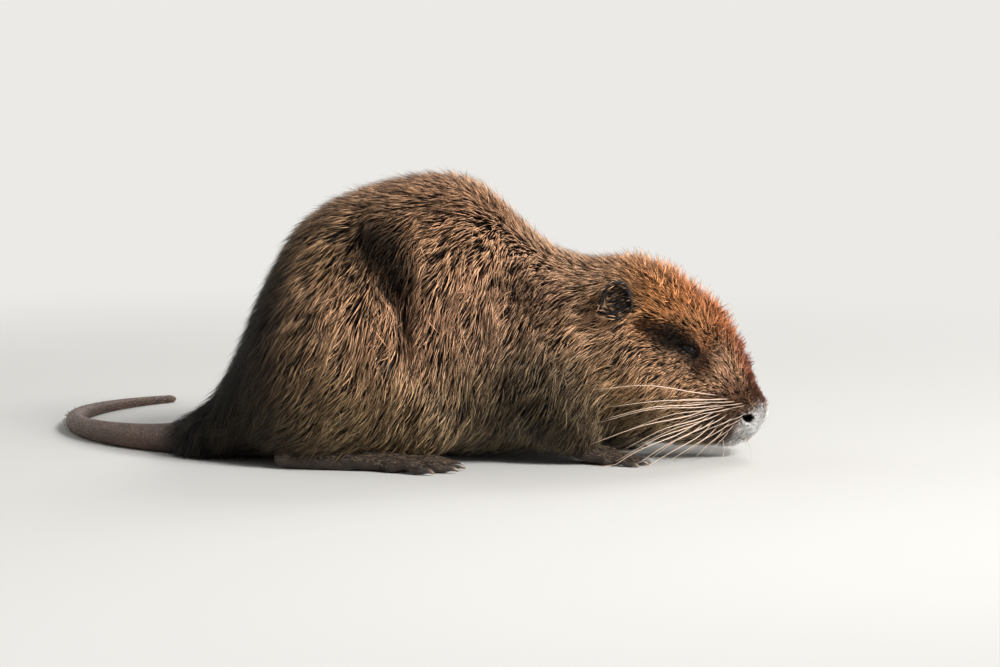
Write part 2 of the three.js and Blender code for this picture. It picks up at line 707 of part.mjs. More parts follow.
// A round cup, open outwards and forwards, whose floor is sunk into the side of the head.
const grownHead = netSolid((p) => body(p) - GAP, bounds(78, -80, 44, 174, 80, 162), 13.2);
for (const [sideName, side] of sides) {
  const mouth = V(Math.sin(ear.forward), Math.cos(ear.forward) * side, Math.sin(ear.lift)).normalize();
  const turn = new THREE.Quaternion().setFromUnitVectors(V(0, side, 0), mouth);
  const centre = inHead(ear.along, ear.up, side * (headSide(ear.along, ear.up) + ear.out));
  const outer = V(ear.width / 2, ear.depth, ear.height / 2);
  const shell = egg(centre, outer, turn, 11, 7)
    .subtract(egg(centre.clone().addScaledVector(mouth, 1), outer.clone().subScalar(ear.wall), turn, 11, 7))
    .subtract(sideOf(centre, mouth));
  add(`ear_${sideName}`, largest(shell.subtract(grownHead)), materials.bareSkin);
}

// The origin is under the middle of the whole model.
const middle = new THREE.Box3().setFromObject(model).getCenter(V(0, 0, 0));
for (const mesh of model.children) mesh.geometry.translate(-middle.x, -middle.y, 0);

export default model;
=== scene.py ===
# A coypu crouched to feed, life size, as a still museum model: its skin, coat, whiskers, eyes
# and claws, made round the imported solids. Metres, +Z up, the head towards +X and the animal's
# left towards +Y. Sizes are written in millimetres and multiplied by MM where they are used.
import math
from collections import namedtuple

import bmesh
import bpy
import numpy as np
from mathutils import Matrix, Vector
from mathutils.bvhtree import BVHTree
from mathutils.kdtree import KDTree


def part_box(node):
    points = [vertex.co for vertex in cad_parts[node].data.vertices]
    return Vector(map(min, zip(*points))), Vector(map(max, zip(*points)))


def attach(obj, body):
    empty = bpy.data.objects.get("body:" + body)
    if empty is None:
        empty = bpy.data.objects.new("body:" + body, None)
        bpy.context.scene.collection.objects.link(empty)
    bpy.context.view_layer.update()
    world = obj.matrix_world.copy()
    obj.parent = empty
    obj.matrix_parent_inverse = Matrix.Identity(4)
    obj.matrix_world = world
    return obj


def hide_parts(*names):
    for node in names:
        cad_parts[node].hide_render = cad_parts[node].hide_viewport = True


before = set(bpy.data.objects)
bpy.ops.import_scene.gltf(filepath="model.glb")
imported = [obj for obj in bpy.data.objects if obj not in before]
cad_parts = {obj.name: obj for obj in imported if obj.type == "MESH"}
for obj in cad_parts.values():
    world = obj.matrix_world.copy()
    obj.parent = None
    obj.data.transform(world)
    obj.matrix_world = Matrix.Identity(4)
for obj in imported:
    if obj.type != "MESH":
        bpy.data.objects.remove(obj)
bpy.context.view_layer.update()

MM = 0.001
UP = np.array([0.0, 0.0, 1.0])
SIDES = {"right": -1, "left": 1}

# ---- Driving dimensions, in millimetres ----------------------------------------------------

HEAD_PITCH = math.radians(30)  # how far the snout points below level
EYE_PLACE = (67, 14)  # back from the nose along the head's axis, and up from it
HUMP_BACK = 222  # from the nose back to the top of the hunched back, level

BODY_NET = 2.2  # grid of the skin under the coat
FOOT_NET = 1.0
SET_IN = 0.62  # share of the coat's depth that the skin lies inside the solids
LEAST_LIFT = 0.02  # how far bare soles and the tail stay off the floor, so that it shows no specks

LOCKS = 132000  # locks of hair in the coat
LONG_LOCK = 27  # longer ones are made with one ring more
LOCKS_IN_A_PIECE = 11800
GUARD_SHARE = 0.6  # long fine hairs on top
WOOL_SHARE = 0.12  # short soft ones at the bottom; the rest, the cover hair, is between
STRAY_SHARE = 0.04  # share of the guard hairs that lie out of order
SPIKE_SHARE = 0.12  # share of those on the crown that stand up thick and dark-ended
EAR_HAIR = 0.22  # hair on the ears, as a share of what the body has
FOOT_HAIRS = 9000
CLUMP = 5  # locks that draw together at their tips
# What a lock takes of its zone's length, depth and width, from and to: wool, guard and cover hair.
LENGTH_SHARES = ((0.5, 0.7), (0.9, 1.25), (0.7, 1.05))
LEVEL_SHARES = ((0.08, 0.4), (0.58, 1.06), (0.25, 0.7))
WIDTH_SHARES = ((1.4, 1.9), (0.6, 0.95), (0.75, 1.15))
SHORT_STATIONS = np.array([0, 0.5, 1.0])  # where along a lock its rings and its tip are
LONG_STATIONS = np.array([0, 0.3, 0.65, 1.0])

TAIL_LENGTH = 338
TAIL_ROOT = (-150, 0)
TAIL_TURNS = (20, 142)  # heading in degrees at root and tip, from straight back to the left
TAIL_RING = 2.4  # from one ring of scales to the next

# ---- Places --------------------------------------------------------------------------------


def middle_of(node):
    """The middle of a solid's box."""
    low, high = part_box(node)
    return np.array((low + high) / 2)


EYES = {side: middle_of(f"eye_{name}") for name, side in SIDES.items()}
EYE_RADIUS = (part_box("eye_right")[1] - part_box("eye_right")[0]).x / 2
MID_Y = (EYES[1][1] + EYES[-1][1]) / 2
HEAD_BACK = np.array([-math.cos(HEAD_PITCH), 0, math.sin(HEAD_PITCH)])
HEAD_UP = np.array([math.sin(HEAD_PITCH), 0, math.cos(HEAD_PITCH)])
NOSE = np.array([EYES[1][0], MID_Y, EYES[1][2]])
NOSE = NOSE - (HEAD_BACK * EYE_PLACE[0] + HEAD_UP * EYE_PLACE[1]) * MM
HUMP_X = NOSE[0] - HUMP_BACK * MM


def in_head(along, up, side):
    """A point given back from the nose, up from the head's axis and out to a side."""
    return NOSE + (HEAD_BACK * along + HEAD_UP * up + np.array([0, side, 0])) * MM


def head_places(points):
    """Along, up and side of points, in millimetres."""
    d = (points - NOSE) / MM
    return d @ HEAD_BACK, d @ HEAD_UP, d[:, 1]


def in_body(x, side, z):
    """A point given forward of the hump, out to a side and up from the floor."""
    return np.array([HUMP_X + x * MM, MID_Y + side * MM, z * MM])


def body_places(points):
    """Forward of the hump, out from the middle whichever the side, and up, in millimetres."""
    d = (points - np.array([HUMP_X, MID_Y, 0])) / MM
    d[:, 1] = np.abs(d[:, 1])
    return d


def step(value, low, high):
    """0 below low and 1 above high, with a smooth rise between them."""
    t = np.clip((value - low) / (high - low), 0, 1)
    return t * t * (3 - 2 * t)


def unit(vectors):
    """The vectors at length 1."""
    size = np.linalg.norm(vectors, axis=-1, keepdims=True)
    return vectors / np.maximum(size, 1e-12)


def drift(points, size, seed, waves=8):
    """A smooth random value, mostly between -1 and 1, that changes over a size."""
    rng = np.random.default_rng(seed)
    way = unit(rng.normal(size=(waves, 3))) * 2 * math.pi / size
    return np.sin(points @ way.T + rng.uniform(0, 6.28, waves)).sum(1) / math.sqrt(waves)


# ---- The coat's zones ----------------------------------------------------------------------

# Each zone gives the coat round one place; between places they blend. Reach is how far a zone
# carries, lie the way the hair points in degrees down from straight back, depth how far the tips
# stand off the skin, then the length and width of a lock, and its colour at the base and the tip.
Zone = namedtuple("Zone", "piece place reach lie depth length width under tip")


def side_place(along, up):
    """A place on the head, as forward of the hump and up from the floor."""
    x, _, z = (in_head(along, up, 0) - np.array([HUMP_X, 0, 0])) / MM
    return x, z


def head_zone(piece, along, side, up, *rest):
    x, z = side_place(along, up)
    return Zone(piece, (x, side, z), *rest)


ZONES = [
    Zone("back", (0, 0, 188), 38, 4, 10.5, 17, 0.8, "#150e0a", "#bd926f"),
    Zone("back", (52, 0, 166), 33, 2, 10, 16, 0.75, "#1e110b", "#f9c598"),
    Zone("back", (28, 36, 168), 26, 30, 10, 17, 0.75, "#19100a", "#d9a37b"),
    Zone("back", (-58, 0, 170), 36, 20, 10.5, 18, 0.8, "#120c09", "#e6b78f"),
    # The rump zones are near black: painted shade on the rump, which is turned away from the light.
    Zone("rump", (-106, 0, 122), 36, 45, 10.5, 26, 0.9, "#070504", "#2f281e"),
    Zone("rump", (-138, 0, 55), 34, 62, 8, 26, 0.9, "#070504", "#241f16"),
    Zone("rump", (-112, 42, 85), 34, 60, 9.5, 27, 0.9, "#070504", "#1f1a13"),
    Zone("rump", (-101, 56, 74), 22, 60, 9.5, 27, 0.9, "#070504", "#29211a"),
    Zone("haunch", (-62, 61, 132), 26, 62, 10, 25, 0.85, "#130c09", "#b79168"),
    Zone("haunch", (-66, 78, 96), 24, 62, 10, 27, 0.85, "#140d09", "#c09572"),
    Zone("haunch", (-30, 84, 84), 29, 84, 10, 26, 0.85, "#2a180f", "#f9bd92"),
    Zone("haunch", (-70, 81, 52), 28, 44, 10, 30, 0.85, "#110c08", "#b89a72"),
    Zone("haunch", (-50, 74, 22), 22, 34, 9, 29, 0.85, "#0e0a07", "#715f45"),
    Zone("haunch", (0, 78, 34), 24, 62, 9, 25, 0.85, "#130d09", "#ba9a74"),
    Zone("haunch", (-108, 52, 22), 22, 36, 7, 26, 0.85, "#0b0806", "#3b3224"),
    # These three are dark: painted shade in the crease above the thigh and down its front edge.
    Zone("flank", (-36, 55, 140), 12, 70, 8.5, 21, 0.8, "#060403", "#35281e"),
    Zone("flank", (-20, 64, 122), 9.5, 78, 8.5, 22, 0.8, "#060403", "#3d2e22"),
    Zone("flank", (-14, 74, 96), 5.5, 82, 8.5, 23, 0.8, "#080504", "#5f4636"),
    Zone("flank", (16, 74, 92), 24, 76, 10, 25, 0.85, "#1d120c", "#f7bf96"),
    Zone("flank", (42, 57, 128), 26, 62, 10, 24, 0.85, "#1e130c", "#f7c197"),
    Zone("flank", (4, 63, 142), 22, 62, 10, 23, 0.85, "#150e09", "#cc9e78"),
    # Dark: painted shadow of the fold behind the neck.
    Zone("flank", (66, 51, 108), 14, 52, 8.5, 22, 0.85, "#0d0906", "#7c5e48"),
    Zone("flank", (46, 64, 54), 30, 78, 9.5, 26, 0.85, "#0e0a08", "#584e3d"),
    Zone("belly", (30, 28, 6), 36, 60, 8, 20, 1.1, "#110d09", "#907f63"),
    Zone("belly", (-60, 20, 4), 30, 50, 7, 18, 1.1, "#110d09", "#86755b"),
    Zone("neck", (88, 50, 92), 24, 44, 9.5, 24, 0.85, "#180f09", "#d9aa82"),
    Zone("flank", (86, 60, 46), 24, 64, 8, 23, 0.85, "#0e0a08", "#615440"),
    Zone("legs", (101, 42, 16), 13, 62, 3, 11, 0.65, "#0e0a07", "#6e5f4a"),
    Zone("neck", (132, 15, 14), 24, 34, 7, 20, 0.85, "#140f0a", "#827156"),
    Zone("neck", (92, 0, 134), 26, 4, 9, 17, 0.75, "#4a2f22", "#fbcaa0"),
    Zone("neck", (84, 34, 122), 22, 22, 9, 19, 0.75, "#3a2418", "#fbc89e"),
    head_zone("neck", 142, 45, 0, 18, 40, 8.5, 23, 0.7, "#140d08", "#e8b88e"),
    head_zone("head", 124, 0, 46, 20, -16, 9, 13, 0.6, "#3f2112", "#fbba82"),
    head_zone("head", 88, 10, 46, 18, -44, 9, 12.5, 0.55, "#221007", "#f4a26c"),
    head_zone("head", 52, 0, 40, 15, -50, 8, 11.5, 0.5, "#1a0a05", "#d08353"),
    head_zone("muzzle", 26, 0, 24, 11, -52, 5.5, 8.5, 0.45, "#140603", "#82402a"),
    head_zone("muzzle", 9, 0, 12, 6, -60, 2.6, 5, 0.36, "#160806", "#6f4433"),
    head_zone("head", 104, 38, 28, 13, -22, 5, 13, 0.5, "#2c1507", "#fbac68"),
    head_zone("head", 84, 33, 32, 10, -40, 5.5, 11, 0.5, "#241006", "#f2a468"),
    # Here and in the next zone the dark streak runs back from the eye and fades: partly dark hair, partly
    # painted shade under the brow.
    head_zone("head", 93, 45, 14, 4.2, 6, 3, 9, 0.5, "#070504", "#402818"),
    head_zone("head", 103, 46, 14, 3.2, 4, 3, 10, 0.5, "#0c0705", "#6b4429"),
    head_zone("head", 74, 34, 30, 7, -34, 4.5, 9, 0.48, "#1f0e06", "#f1aa72"),
    # Near black round the eye, here and in the next zone: partly the coat's dark hair, partly painted
    # shade of the brow and the socket.
    head_zone("face", 65, 39.5, 14.5, 8, 2, 1.2, 3.4, 0.35, "#040303", "#0d0a08"),
    head_zone("face", 74, 41, 16, 8, 2, 1.6, 4.6, 0.35, "#040303", "#0d0a08"),
    head_zone("face", 72, 43, 4, 4.5, 16, 3, 9, 0.45, "#160e09", "#f2bd92"),
    head_zone("face", 55, 34, 8, 4, -10, 3, 8, 0.45, "#090604", "#6b4a35"),
    head_zone("head", 63, 34, 22, 4, 10, 4, 8, 0.45, "#1f0e06", "#e59c67"),
    # Near black behind the eye: partly dark hair, partly painted shade of the brow and the socket.
    head_zone("face", 83, 43, 15.5, 5.6, 2, 2.0, 6, 0.4, "#050404", "#130e0a"),
    head_zone("face", 60, 40, -6, 12, 14, 4.4, 13, 0.46, "#0f0906", "#f5be90"),
    head_zone("face", 80, 47, -4, 13, 28, 6.5, 19, 0.52, "#0f0906", "#f5be90"),
    head_zone("face", 106, 49, -4, 15, 36, 8.5, 25, 0.6, "#0f0906", "#f5be90"),
    head_zone("face", 100, 48, -32, 18, 36, 8.5, 25, 0.62, "#0e0906", "#c79f75"),
    head_zone("face", 62, 36, -32, 15, 24, 5.4, 18, 0.52, "#0d0906", "#b8946d"),
    head_zone("muzzle", 40, 27, 12, 11, -30, 4.0, 9, 0.42, "#170c07", "#fbc69c"),
    head_zone("muzzle", 24, 25, 0, 8, -20, 2.8, 7, 0.4, "#0d0806", "#7c5840"),
    head_zone("muzzle", 28, 29, -16, 9, 8, 2.6, 7, 0.4, "#0c0706", "#5a4534"),
    head_zone("muzzle", 5, 18, -15, 6.2, 62, 2.6, 8, 0.38, "#f4f0ec", "#f7f7f7"),
    head_zone("muzzle", 8, 8, -25, 6, 70, 3.8, 11, 0.42, "#f0ebe6", "#f7f7f7"),
    head_zone("muzzle", 0, 9, -4, 4.8, -8, 1.8, 4.5, 0.32, "#ece5df", "#f7f7f3"),
    head_zone("muzzle", 20, 25, -22, 6, 24, 2.8, 9, 0.42, "#0c0706", "#66503e"),
    head_zone("neck", 50, 10, -44, 16, 30, 4.5, 14, 0.65, "#3e372c", "#d4c5a8"),
    head_zone("ears", 126, 50, 22, 7, 6, 0.9, 7, 0.34, "#080605", "#8a6a4c"),
]
ZONE_PLACES = np.array([zone.place for zone in ZONES], float)
ZONE_REACH = np.array([zone.reach for zone in ZONES], float)


def colour(code):
    """An sRGB hex value as linear red, green and blue."""
    parts = [int(code[i : i + 2], 16) / 255 for i in (1, 3, 5)]
    return [c / 12.92 if c <= 0.04045 else ((c + 0.055) / 1.055) ** 2.4 for c in parts]


def zone_shares(points):
    """How much each zone counts at each point; the shares of a point add up to 1."""
    p = body_places(points)
    apart = (p**2).sum(1)[:, None] - 2 * p @ ZONE_PLACES.T + (ZONE_PLACES**2).sum(1)
    # The second term lets a narrow zone win at its own place.
    weight = -apart / (2 * ZONE_REACH**2) - 2 * np.log(ZONE_REACH)
    share = np.exp(weight - weight.max(1, keepdims=True))
    return share / share.sum(1, keepdims=True)


def zone_values(name, shares):
    """One of the zones' values blended at points. Colours come out in linear light, but are
    blended by how bright they look, so that dark zones hold their own beside pale ones."""
    values = [getattr(zone, name) for zone in ZONES]
    if name in ("under", "tip"):
        return (shares @ np.array([colour(value) for value in values]) ** (1 / 2.2)) ** 2.2
    return shares @ np.array(values, float)


def lie_of_hair(points, shares):
    """The way the hair points, before it is laid along the skin."""
    lie = np.radians([zone.lie for zone in ZONES])
    level, down = shares @ np.cos(lie), shares @ np.sin(lie)
    out = np.sign(points[:, 1] - MID_Y)
    along = head_places(points)[0]
    spread = 0.16 + 0.5 * (1 - step(along, 8, 26)) * step(along, -40, -10)
    return unit(np.stack([-level, out * spread, -down], 1))


# ---- Meshes from arrays --------------------------------------------------------------------


def mesh_object(name, points, *face_sets):
    """A smooth-shaded object; all faces of a set have the same number of corners."""
    mesh = bpy.data.meshes.new(name)
    corners = np.concatenate([np.ravel(faces) for faces in face_sets]).astype(np.int32)
    sizes = np.concatenate([np.full(len(faces), len(faces[0])) for faces in face_sets])
    mesh.vertices.add(len(points))
    mesh.vertices.foreach_set("co", np.ravel(points).astype(np.float32))
    mesh.loops.add(len(corners))
    mesh.loops.foreach_set("vertex_index", corners)
    mesh.polygons.add(len(sizes))
    mesh.polygons.foreach_set("loop_start", (np.cumsum(sizes) - sizes).astype(np.int32))
    mesh.update(calc_edges=True)
    mesh.shade_smooth()
    made = bpy.data.objects.new(name, mesh)
    bpy.context.scene.collection.objects.link(made)
    return made


def read(things, name, each, kind=np.float32):
    """One property of all of a mesh's things, a row for each thing."""
    flat = np.empty(len(things) * each, kind)
    things.foreach_get(name, flat)
    return flat.reshape(-1, each)


def points_of(mesh):
    return read(mesh.vertices, "co", 3).astype(float)


def normals_of(mesh):
    return read(mesh.vertex_normals, "vector", 3).astype(float)


def edges_of(mesh):
    return read(mesh.edges, "vertices", 2, np.int32)


def slots_of(mesh):
    """The material slot of every face."""
    return read(mesh.polygons, "material_index", 1, np.int32)[:, 0]


def triangles_of(mesh):
    """The corners of every triangle and the face that each one belongs to."""
    mesh.calc_loop_triangles()
    faces = read(mesh.loop_triangles, "polygon_index", 1, np.int32)[:, 0]
    return read(mesh.loop_triangles, "vertices", 3, np.int32), faces


def tree_of(mesh):
    """A mesh's triangles, ready for finding the nearest place on them."""
    triangles, _ = triangles_of(mesh)
    return BVHTree.FromPolygons(points_of(mesh).tolist(), triangles.tolist())


def move_points(mesh, points):
    """Puts a mesh's points at new places."""
    mesh.vertices.foreach_set("co", np.ravel(points).astype(np.float32))
    mesh.update()


def relaxed(points, edges, turns, amount=0.5, where=1.0):
    """Draws each point towards the middle of its neighbours, turn after turn."""
    n = len(points)
    degree = np.maximum(np.bincount(edges.ravel(), minlength=n), 1)[:, None]
    one_way = np.concatenate([edges, edges[:, ::-1]])
    for _ in range(turns):
        total = np.stack([np.bincount(one_way[:, 0], points[one_way[:, 1], k], n) for k in range(3)], 1)
        points = points + (total / degree - points) * amount * where
    return points


def store(mesh, name, values, kind="FLOAT"):
    """Keeps a value for every vertex: a number, a vector or a colour."""
    sockets = {"FLOAT": "value", "FLOAT_VECTOR": "vector", "FLOAT_COLOR": "color"}
    if kind == "FLOAT_COLOR":
        values = np.concatenate([values, np.ones((len(values), 1))], 1)
    layer = mesh.attributes.new(name, kind, "POINT")
    layer.data.foreach_set(sockets[kind], np.ravel(values).astype(np.float32))


def settled(made):
    """Turns an object's modifiers into its mesh."""
    bpy.context.view_layer.update()
    depsgraph = bpy.context.evaluated_depsgraph_get()
    old = made.data
    mesh = bpy.data.meshes.new_from_object(made.evaluated_get(depsgraph))
    made.modifiers.clear()
    made.data = mesh
    bpy.data.meshes.remove(old)
    mesh.shade_smooth()
    return made


def netted(made, size):
    """Wraps an object in an even net, which makes one form of the pieces that overlap."""
    net = made.modifiers.new("net", "REMESH")
    net.mode = "VOXEL"
    net.voxel_size = size * MM
    return settled(made)


def united(base, others):
    """Joins closed forms into one closed skin and removes the originals."""
    for other in others:
        union = base.modifiers.new("union", "BOOLEAN")
        union.operation = "UNION"
        union.solver = "MANIFOLD"
        union.object = other
        settled(base)
        bpy.data.objects.remove(other)
    return base


def ring_faces(rows, around):
    """The faces between rings of points, and the two that close the ends."""
    start = np.arange(rows - 1)[:, None] * around
    here, after = np.arange(around), (np.arange(around) + 1) % around
    quads = np.stack([start + here, start + here + around, start + after + around, start + after], -1)
    return quads.reshape(-1, 4), np.stack([here, rows * around - 1 - here])


def tube(line, radii, around=14, flat=1.0):
    """A closed tube along a line, lower than it is wide where flat is below 1."""
    line = np.asarray(line, float)
    radii = np.broadcast_to(np.asarray(radii, float), len(line))
    forward = unit(np.gradient(line, axis=0))
    side = unit(np.cross(forward, UP))
    over = np.cross(side, forward) * flat
    angle = np.arange(around) * 2 * math.pi / around
    ring = np.cos(angle)[:, None] * side[:, None] + np.sin(angle)[:, None] * over[:, None]
    points = (line[:, None] + radii[:, None, None] * ring).reshape(-1, 3)
    return points, *ring_faces(len(line), around)


def smooth_line(points, count):
    """A smooth line through a few points, as many steps as asked."""
    points = np.asarray(points, float)
    padded = np.concatenate([[2 * points[0] - points[1]], points, [2 * points[-1] - points[-2]]])
    t = np.linspace(0, len(points) - 1 - 1e-9, count)
    i, f = t.astype(int), (t % 1)[:, None]
    a, b, c, d = padded[i], padded[i + 1], padded[i + 2], padded[i + 3]
    square, cube = 2 * a - 5 * b + 4 * c - d, 3 * b - a - 3 * c + d
    return 0.5 * (2 * b + (c - a) * f + square * f**2 + cube * f**3)


def joined(name, tubes):
    """Several closed forms as one object."""
    points, quads, caps, base = [], [], [], 0
    for p, q, c in tubes:
        points.append(p)
        quads.append(q + base)
        caps.append(c + base)
        base += len(p)
    return mesh_object(name, np.concatenate(points), np.concatenate(quads), *caps)


# ---- The skin: body -------------------------------------------------------------------------

FUR_SKIN, EAR_SKIN, FOOT_SKIN, TAIL_SKIN = range(4)  # its material slots
FURRED = ["head", "nose", "neck", "trunk", "rump"]
FURRED += [f"{leg}_leg_{side}" for leg in ("hind", "fore") for side in SIDES]

# Hollows and swells in the side of the body: a line as seen from the side, how far it reaches
# to each side, and how deep it is, below 0 where it swells. Where they are deep, the coat is
# also painted darker, as shade.
FOLDS = [
    ([(-42, 150), (-32, 138), (-22, 122)], 12, 6.5),  # above the thigh
    ([(-21, 120), (-16, 98), (-14, 76)], 5, 4.0),  # down the thigh's front edge
    ([(-40, 114), (-29, 90), (-24, 66)], 11, -4.0),  # the thigh itself
    ([(46, 122), (66, 110), (84, 100)], 8, 2.5),  # behind the neck
    ([(-8, 176), (18, 172)], 6, 2.0),  # under the top of the hump
    ([(74, 60), (80, 48)], 17, -3.0),  # the shoulder
    ([side_place(58, 14.5), side_place(78, 15.5), side_place(104, 14)], 5, 4.5),  # through the eye
]


def folds(points):
    """How deep the folds are at points, in millimetres."""
    x, side, z = body_places(points).T
    depth = np.zeros(len(points))
    for line, reach, deep in FOLDS:
        line = np.array(line, float)
        apart = np.full(len(points), 1e9)
        for start, end in zip(line[:-1], line[1:]):
            way = end - start
            t = np.clip(((x - start[0]) * way[0] + (z - start[1]) * way[1]) / (way @ way), 0, 1)
            off_x, off_z = x - start[0] - way[0] * t, z - start[1] - way[1] * t
            apart = np.minimum(apart, off_x**2 + off_z**2)
        depth += deep * np.exp(-apart / reach**2) * step(side, 28, 52)
    return depth


def body_skin():
    """The body's solids as one smooth form, drawn in by the depth of the coat."""
    grow = 1.2 * MM  # closes the thin cuts between the solids, and makes up for the smoothing
    points, triangles, base = [], [], 0
    for node in [*FURRED, "eye_right", "eye_left"]:  # the balls fill their sockets
        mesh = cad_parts[node].data
        corners, _ = triangles_of(mesh)
        places, same = np.unique(points_of(mesh).round(6), axis=0, return_inverse=True)
        corners = same.ravel()[corners]
        p = places[corners]
        facing = np.cross(p[:, 1] - p[:, 0], p[:, 2] - p[:, 0])
        out = np.zeros_like(places)
        for k in range(3):
            np.add.at(out, corners[:, k], facing)
        points.append(places + unit(out) * grow)
        triangles.append(corners + base)
        base += len(places)
    skin = mesh_object("skin", np.concatenate(points), np.concatenate(triangles))
    netted(skin, BODY_NET)
    points = points_of(skin.data)
    on_face = 1 - step(head_places(points)[0], 60, 150)
    edges = edges_of(skin.data)
    points = relaxed(points, edges, 10)
    points = relaxed(points, edges, 30, where=(1 - on_face)[:, None])  # the face has finer forms
    move_points(skin.data, points)
    depth = zone_values("depth", zone_shares(points))
    near_floor = 1 - step(points[:, 2] / MM, 4, 26)
    depth = np.minimum(depth, 11 - 6 * near_floor) * SET_IN + folds(points)
    points = points - normals_of(skin.data) * depth[:, None] * MM
    move_points(skin.data, points)
    netted(skin, BODY_NET)
    points = relaxed(points_of(skin.data), edges_of(skin.data), 4)
    points[:, 2] = np.maximum(points[:, 2], 2 * MM)
    move_points(skin.data, points)
    return skin


# ---- The skin: feet -------------------------------------------------------------------------

# A foot's own frame: forward from the heel, outward, and up, turned outwards by some degrees.
Foot = namedtuple("Foot", "name heel turn knuckle palm tendons digits webs claw")
HIND_FOOT = Foot(
    name="hind",
    heel=(-101, 58),  # forward of the hump, and out
    turn=7,
    knuckle=6,  # height of the toes' roots
    palm=[  # bars of flesh: from, to, their radii and how flat
        ((6, 0, 6.8), (50, 0, 7.5), 7.4, 10.5, 0.85),
        ((50, 0, 7.5), (84, 0, 5.5), 11, 13, 0.6),
        ((77, -7, 5), (80, 8, 5), 8.5, 8.5, 0.7),
    ],
    tendons=(46, 12),  # where they start: forward, and up
    digits=[  # from the inner toe out: where it leaves the foot, its tip and its thickness
        ((84, -10), (104, -21), 3.7),
        ((88, -5), (115, -12), 4.0),
        ((90, 1), (119, -1), 4.1),
        ((89, 7), (116, 10), 4.0),
        ((80, 11), (102, 20), 3.8),
    ],
    webs=3,  # the outer toe is free
    claw=1.0,  # size
)
FORE_FOOT = Foot(
    name="fore",
    heel=(98, 39),
    turn=5,
    knuckle=4.6,
    palm=[
        ((4, 0, 8), (21, 0, 5.5), 8, 8.5, 0.72),
        ((19, -4.5, 4.6), (20, 4.5, 4.6), 6.4, 6.4, 0.75),
    ],
    tendons=(8, 9),
    digits=[
        ((13, -6), (20, -13), 2.1),
        ((22, -6), (38, -12), 2.5),
        ((25, -2.5), (43, -4.5), 2.6),
        ((25, 2.5), (42, 3.5), 2.6),
        ((22, 6.5), (36, 11.5), 2.5),
    ],
    webs=0,
    claw=0.85,
)


def foot_to_world(foot, side, points):
    """Points of a foot's frame on the animal; its outer side is away from the middle."""
    points = np.asarray(points, float)
    turn = math.radians(foot.turn)
    x = points[..., 0] * math.cos(turn) - points[..., 1] * math.sin(turn)
    y = points[..., 0] * math.sin(turn) + points[..., 1] * math.cos(turn)
    heel = in_body(foot.heel[0], 0, 0)
    return heel + np.stack([x, (foot.heel[1] + y) * side, points[..., 2]], -1) * MM


def toe_line(foot, digit, count=26):
    """A toe's middle line: up over its first joint and down to the tip, with its radii."""
    root, tip, r = digit
    shares = [-0.35, 0.1, 0.4, 0.62, 0.85, 1.0]
    heights = [foot.knuckle, r + 2.4, r + 2.6, r + 1.2, r - 0.2, r - 0.7]
    widths = [1.0, 1.2, 0.98, 1.08, 0.92, 0.66]  # wider at the joints
    line = [
        (root[0] + (tip[0] - root[0]) * s, root[1] + (tip[1] - root[1]) * s, z)
        for s, z in zip(shares, heights)
    ]
    return smooth_line(line, count), smooth_line(np.array([[w] for w in widths]), count)[:, 0] * r


def web(foot, first, second):
    """The thin skin between two toes: a plate that sags between them and ends in a hollow edge."""
    (a, _), (b, _) = toe_line(foot, first), toe_line(foot, second)
    wide, end = 7, len(a) - 1
    across = np.linspace(0, 1, wide)
    sag = np.sin(math.pi * across)
    middle = []
    for row in range(5, 21, 3):
        reach = row - 5 * sag * (row / 20) ** 2
        place = np.clip(reach / end, 0, 1) * end
        i = np.minimum(place.astype(int), end - 1)
        f = (place - i)[:, None]
        left = a[i] * (1 - f) + a[i + 1] * f
        right = b[i] * (1 - f) + b[i + 1] * f
        line = left + (right - left) * across[:, None]
        line[:, 2] = np.maximum(line[:, 2] * (0.75 - 0.2 * sag), 1.8)
        middle.append(line)
    middle = np.concatenate(middle)
    count, last = len(middle), len(middle) - wide
    quads = []
    rim = [(k + 1, k) for k in range(wide - 1)] + [(last + k, last + k + 1) for k in range(wide - 1)]
    for start in range(0, last, wide):
        for c in range(start, start + wide - 1):
            quads.append([c, c + 1, c + wide + 1, c + wide])
            quads.append([c + count, c + wide + count, c + wide + 1 + count, c + 1 + count])
        rim += [(start, start + wide), (start + 2 * wide - 1, start + wide - 1)]
    quads += [[p, q, q + count, p + count] for p, q in rim]
    half = np.array([0, 0, 0.85])
    return np.concatenate([middle - half, middle + half]), np.array(quads)


def foot_skin(foot, side):
    """A bare foot: sole, tendons, jointed toes and, behind, the webs between them."""
    bars = []
    ends = np.array([[0.35], [0.85]])  # rounds both ends of a bar
    for start, end, r0, r1, flat in foot.palm:
        line = smooth_line([start, end], 12)
        reach = unit(line[-1] - line[0])
        line = np.concatenate([line[:1] - reach * r0 * ends[::-1], line, line[-1:] + reach * r1 * ends])
        radii = np.linspace(r0, r1, 12)
        radii = np.concatenate([[r0 * 0.5, r0 * 0.92], radii, [r1 * 0.92, r1 * 0.5]])
        bars.append(tube(line, radii, 20, flat))
    for digit in foot.digits:
        line, radii = toe_line(foot, digit)
        bars.append(tube(line, radii))
        (forward, out), _, r = digit
        start = (foot.tendons[0], out * 0.35, foot.tendons[1])
        knuckle = (forward - 6, out * 0.9, foot.knuckle + 2.6)
        bars.append(tube(smooth_line([start, knuckle, line[4]], 12), r * 0.62))
    flesh = joined(f"{foot.name}_foot", [(foot_to_world(foot, side, p), *faces) for p, *faces in bars])
    for first, second in zip(foot.digits[: foot.webs], foot.digits[1:]):
        points, quads = web(foot, first, second)
        merge_into(flesh, mesh_object("web", foot_to_world(foot, side, points), quads))
    netted(flesh, FOOT_NET)
    points = relaxed(points_of(flesh.data), edges_of(flesh.data), 3, 0.4)
    points[:, 2] = np.maximum(points[:, 2], LEAST_LIFT * MM)
    move_points(flesh.data, points)
    return flesh


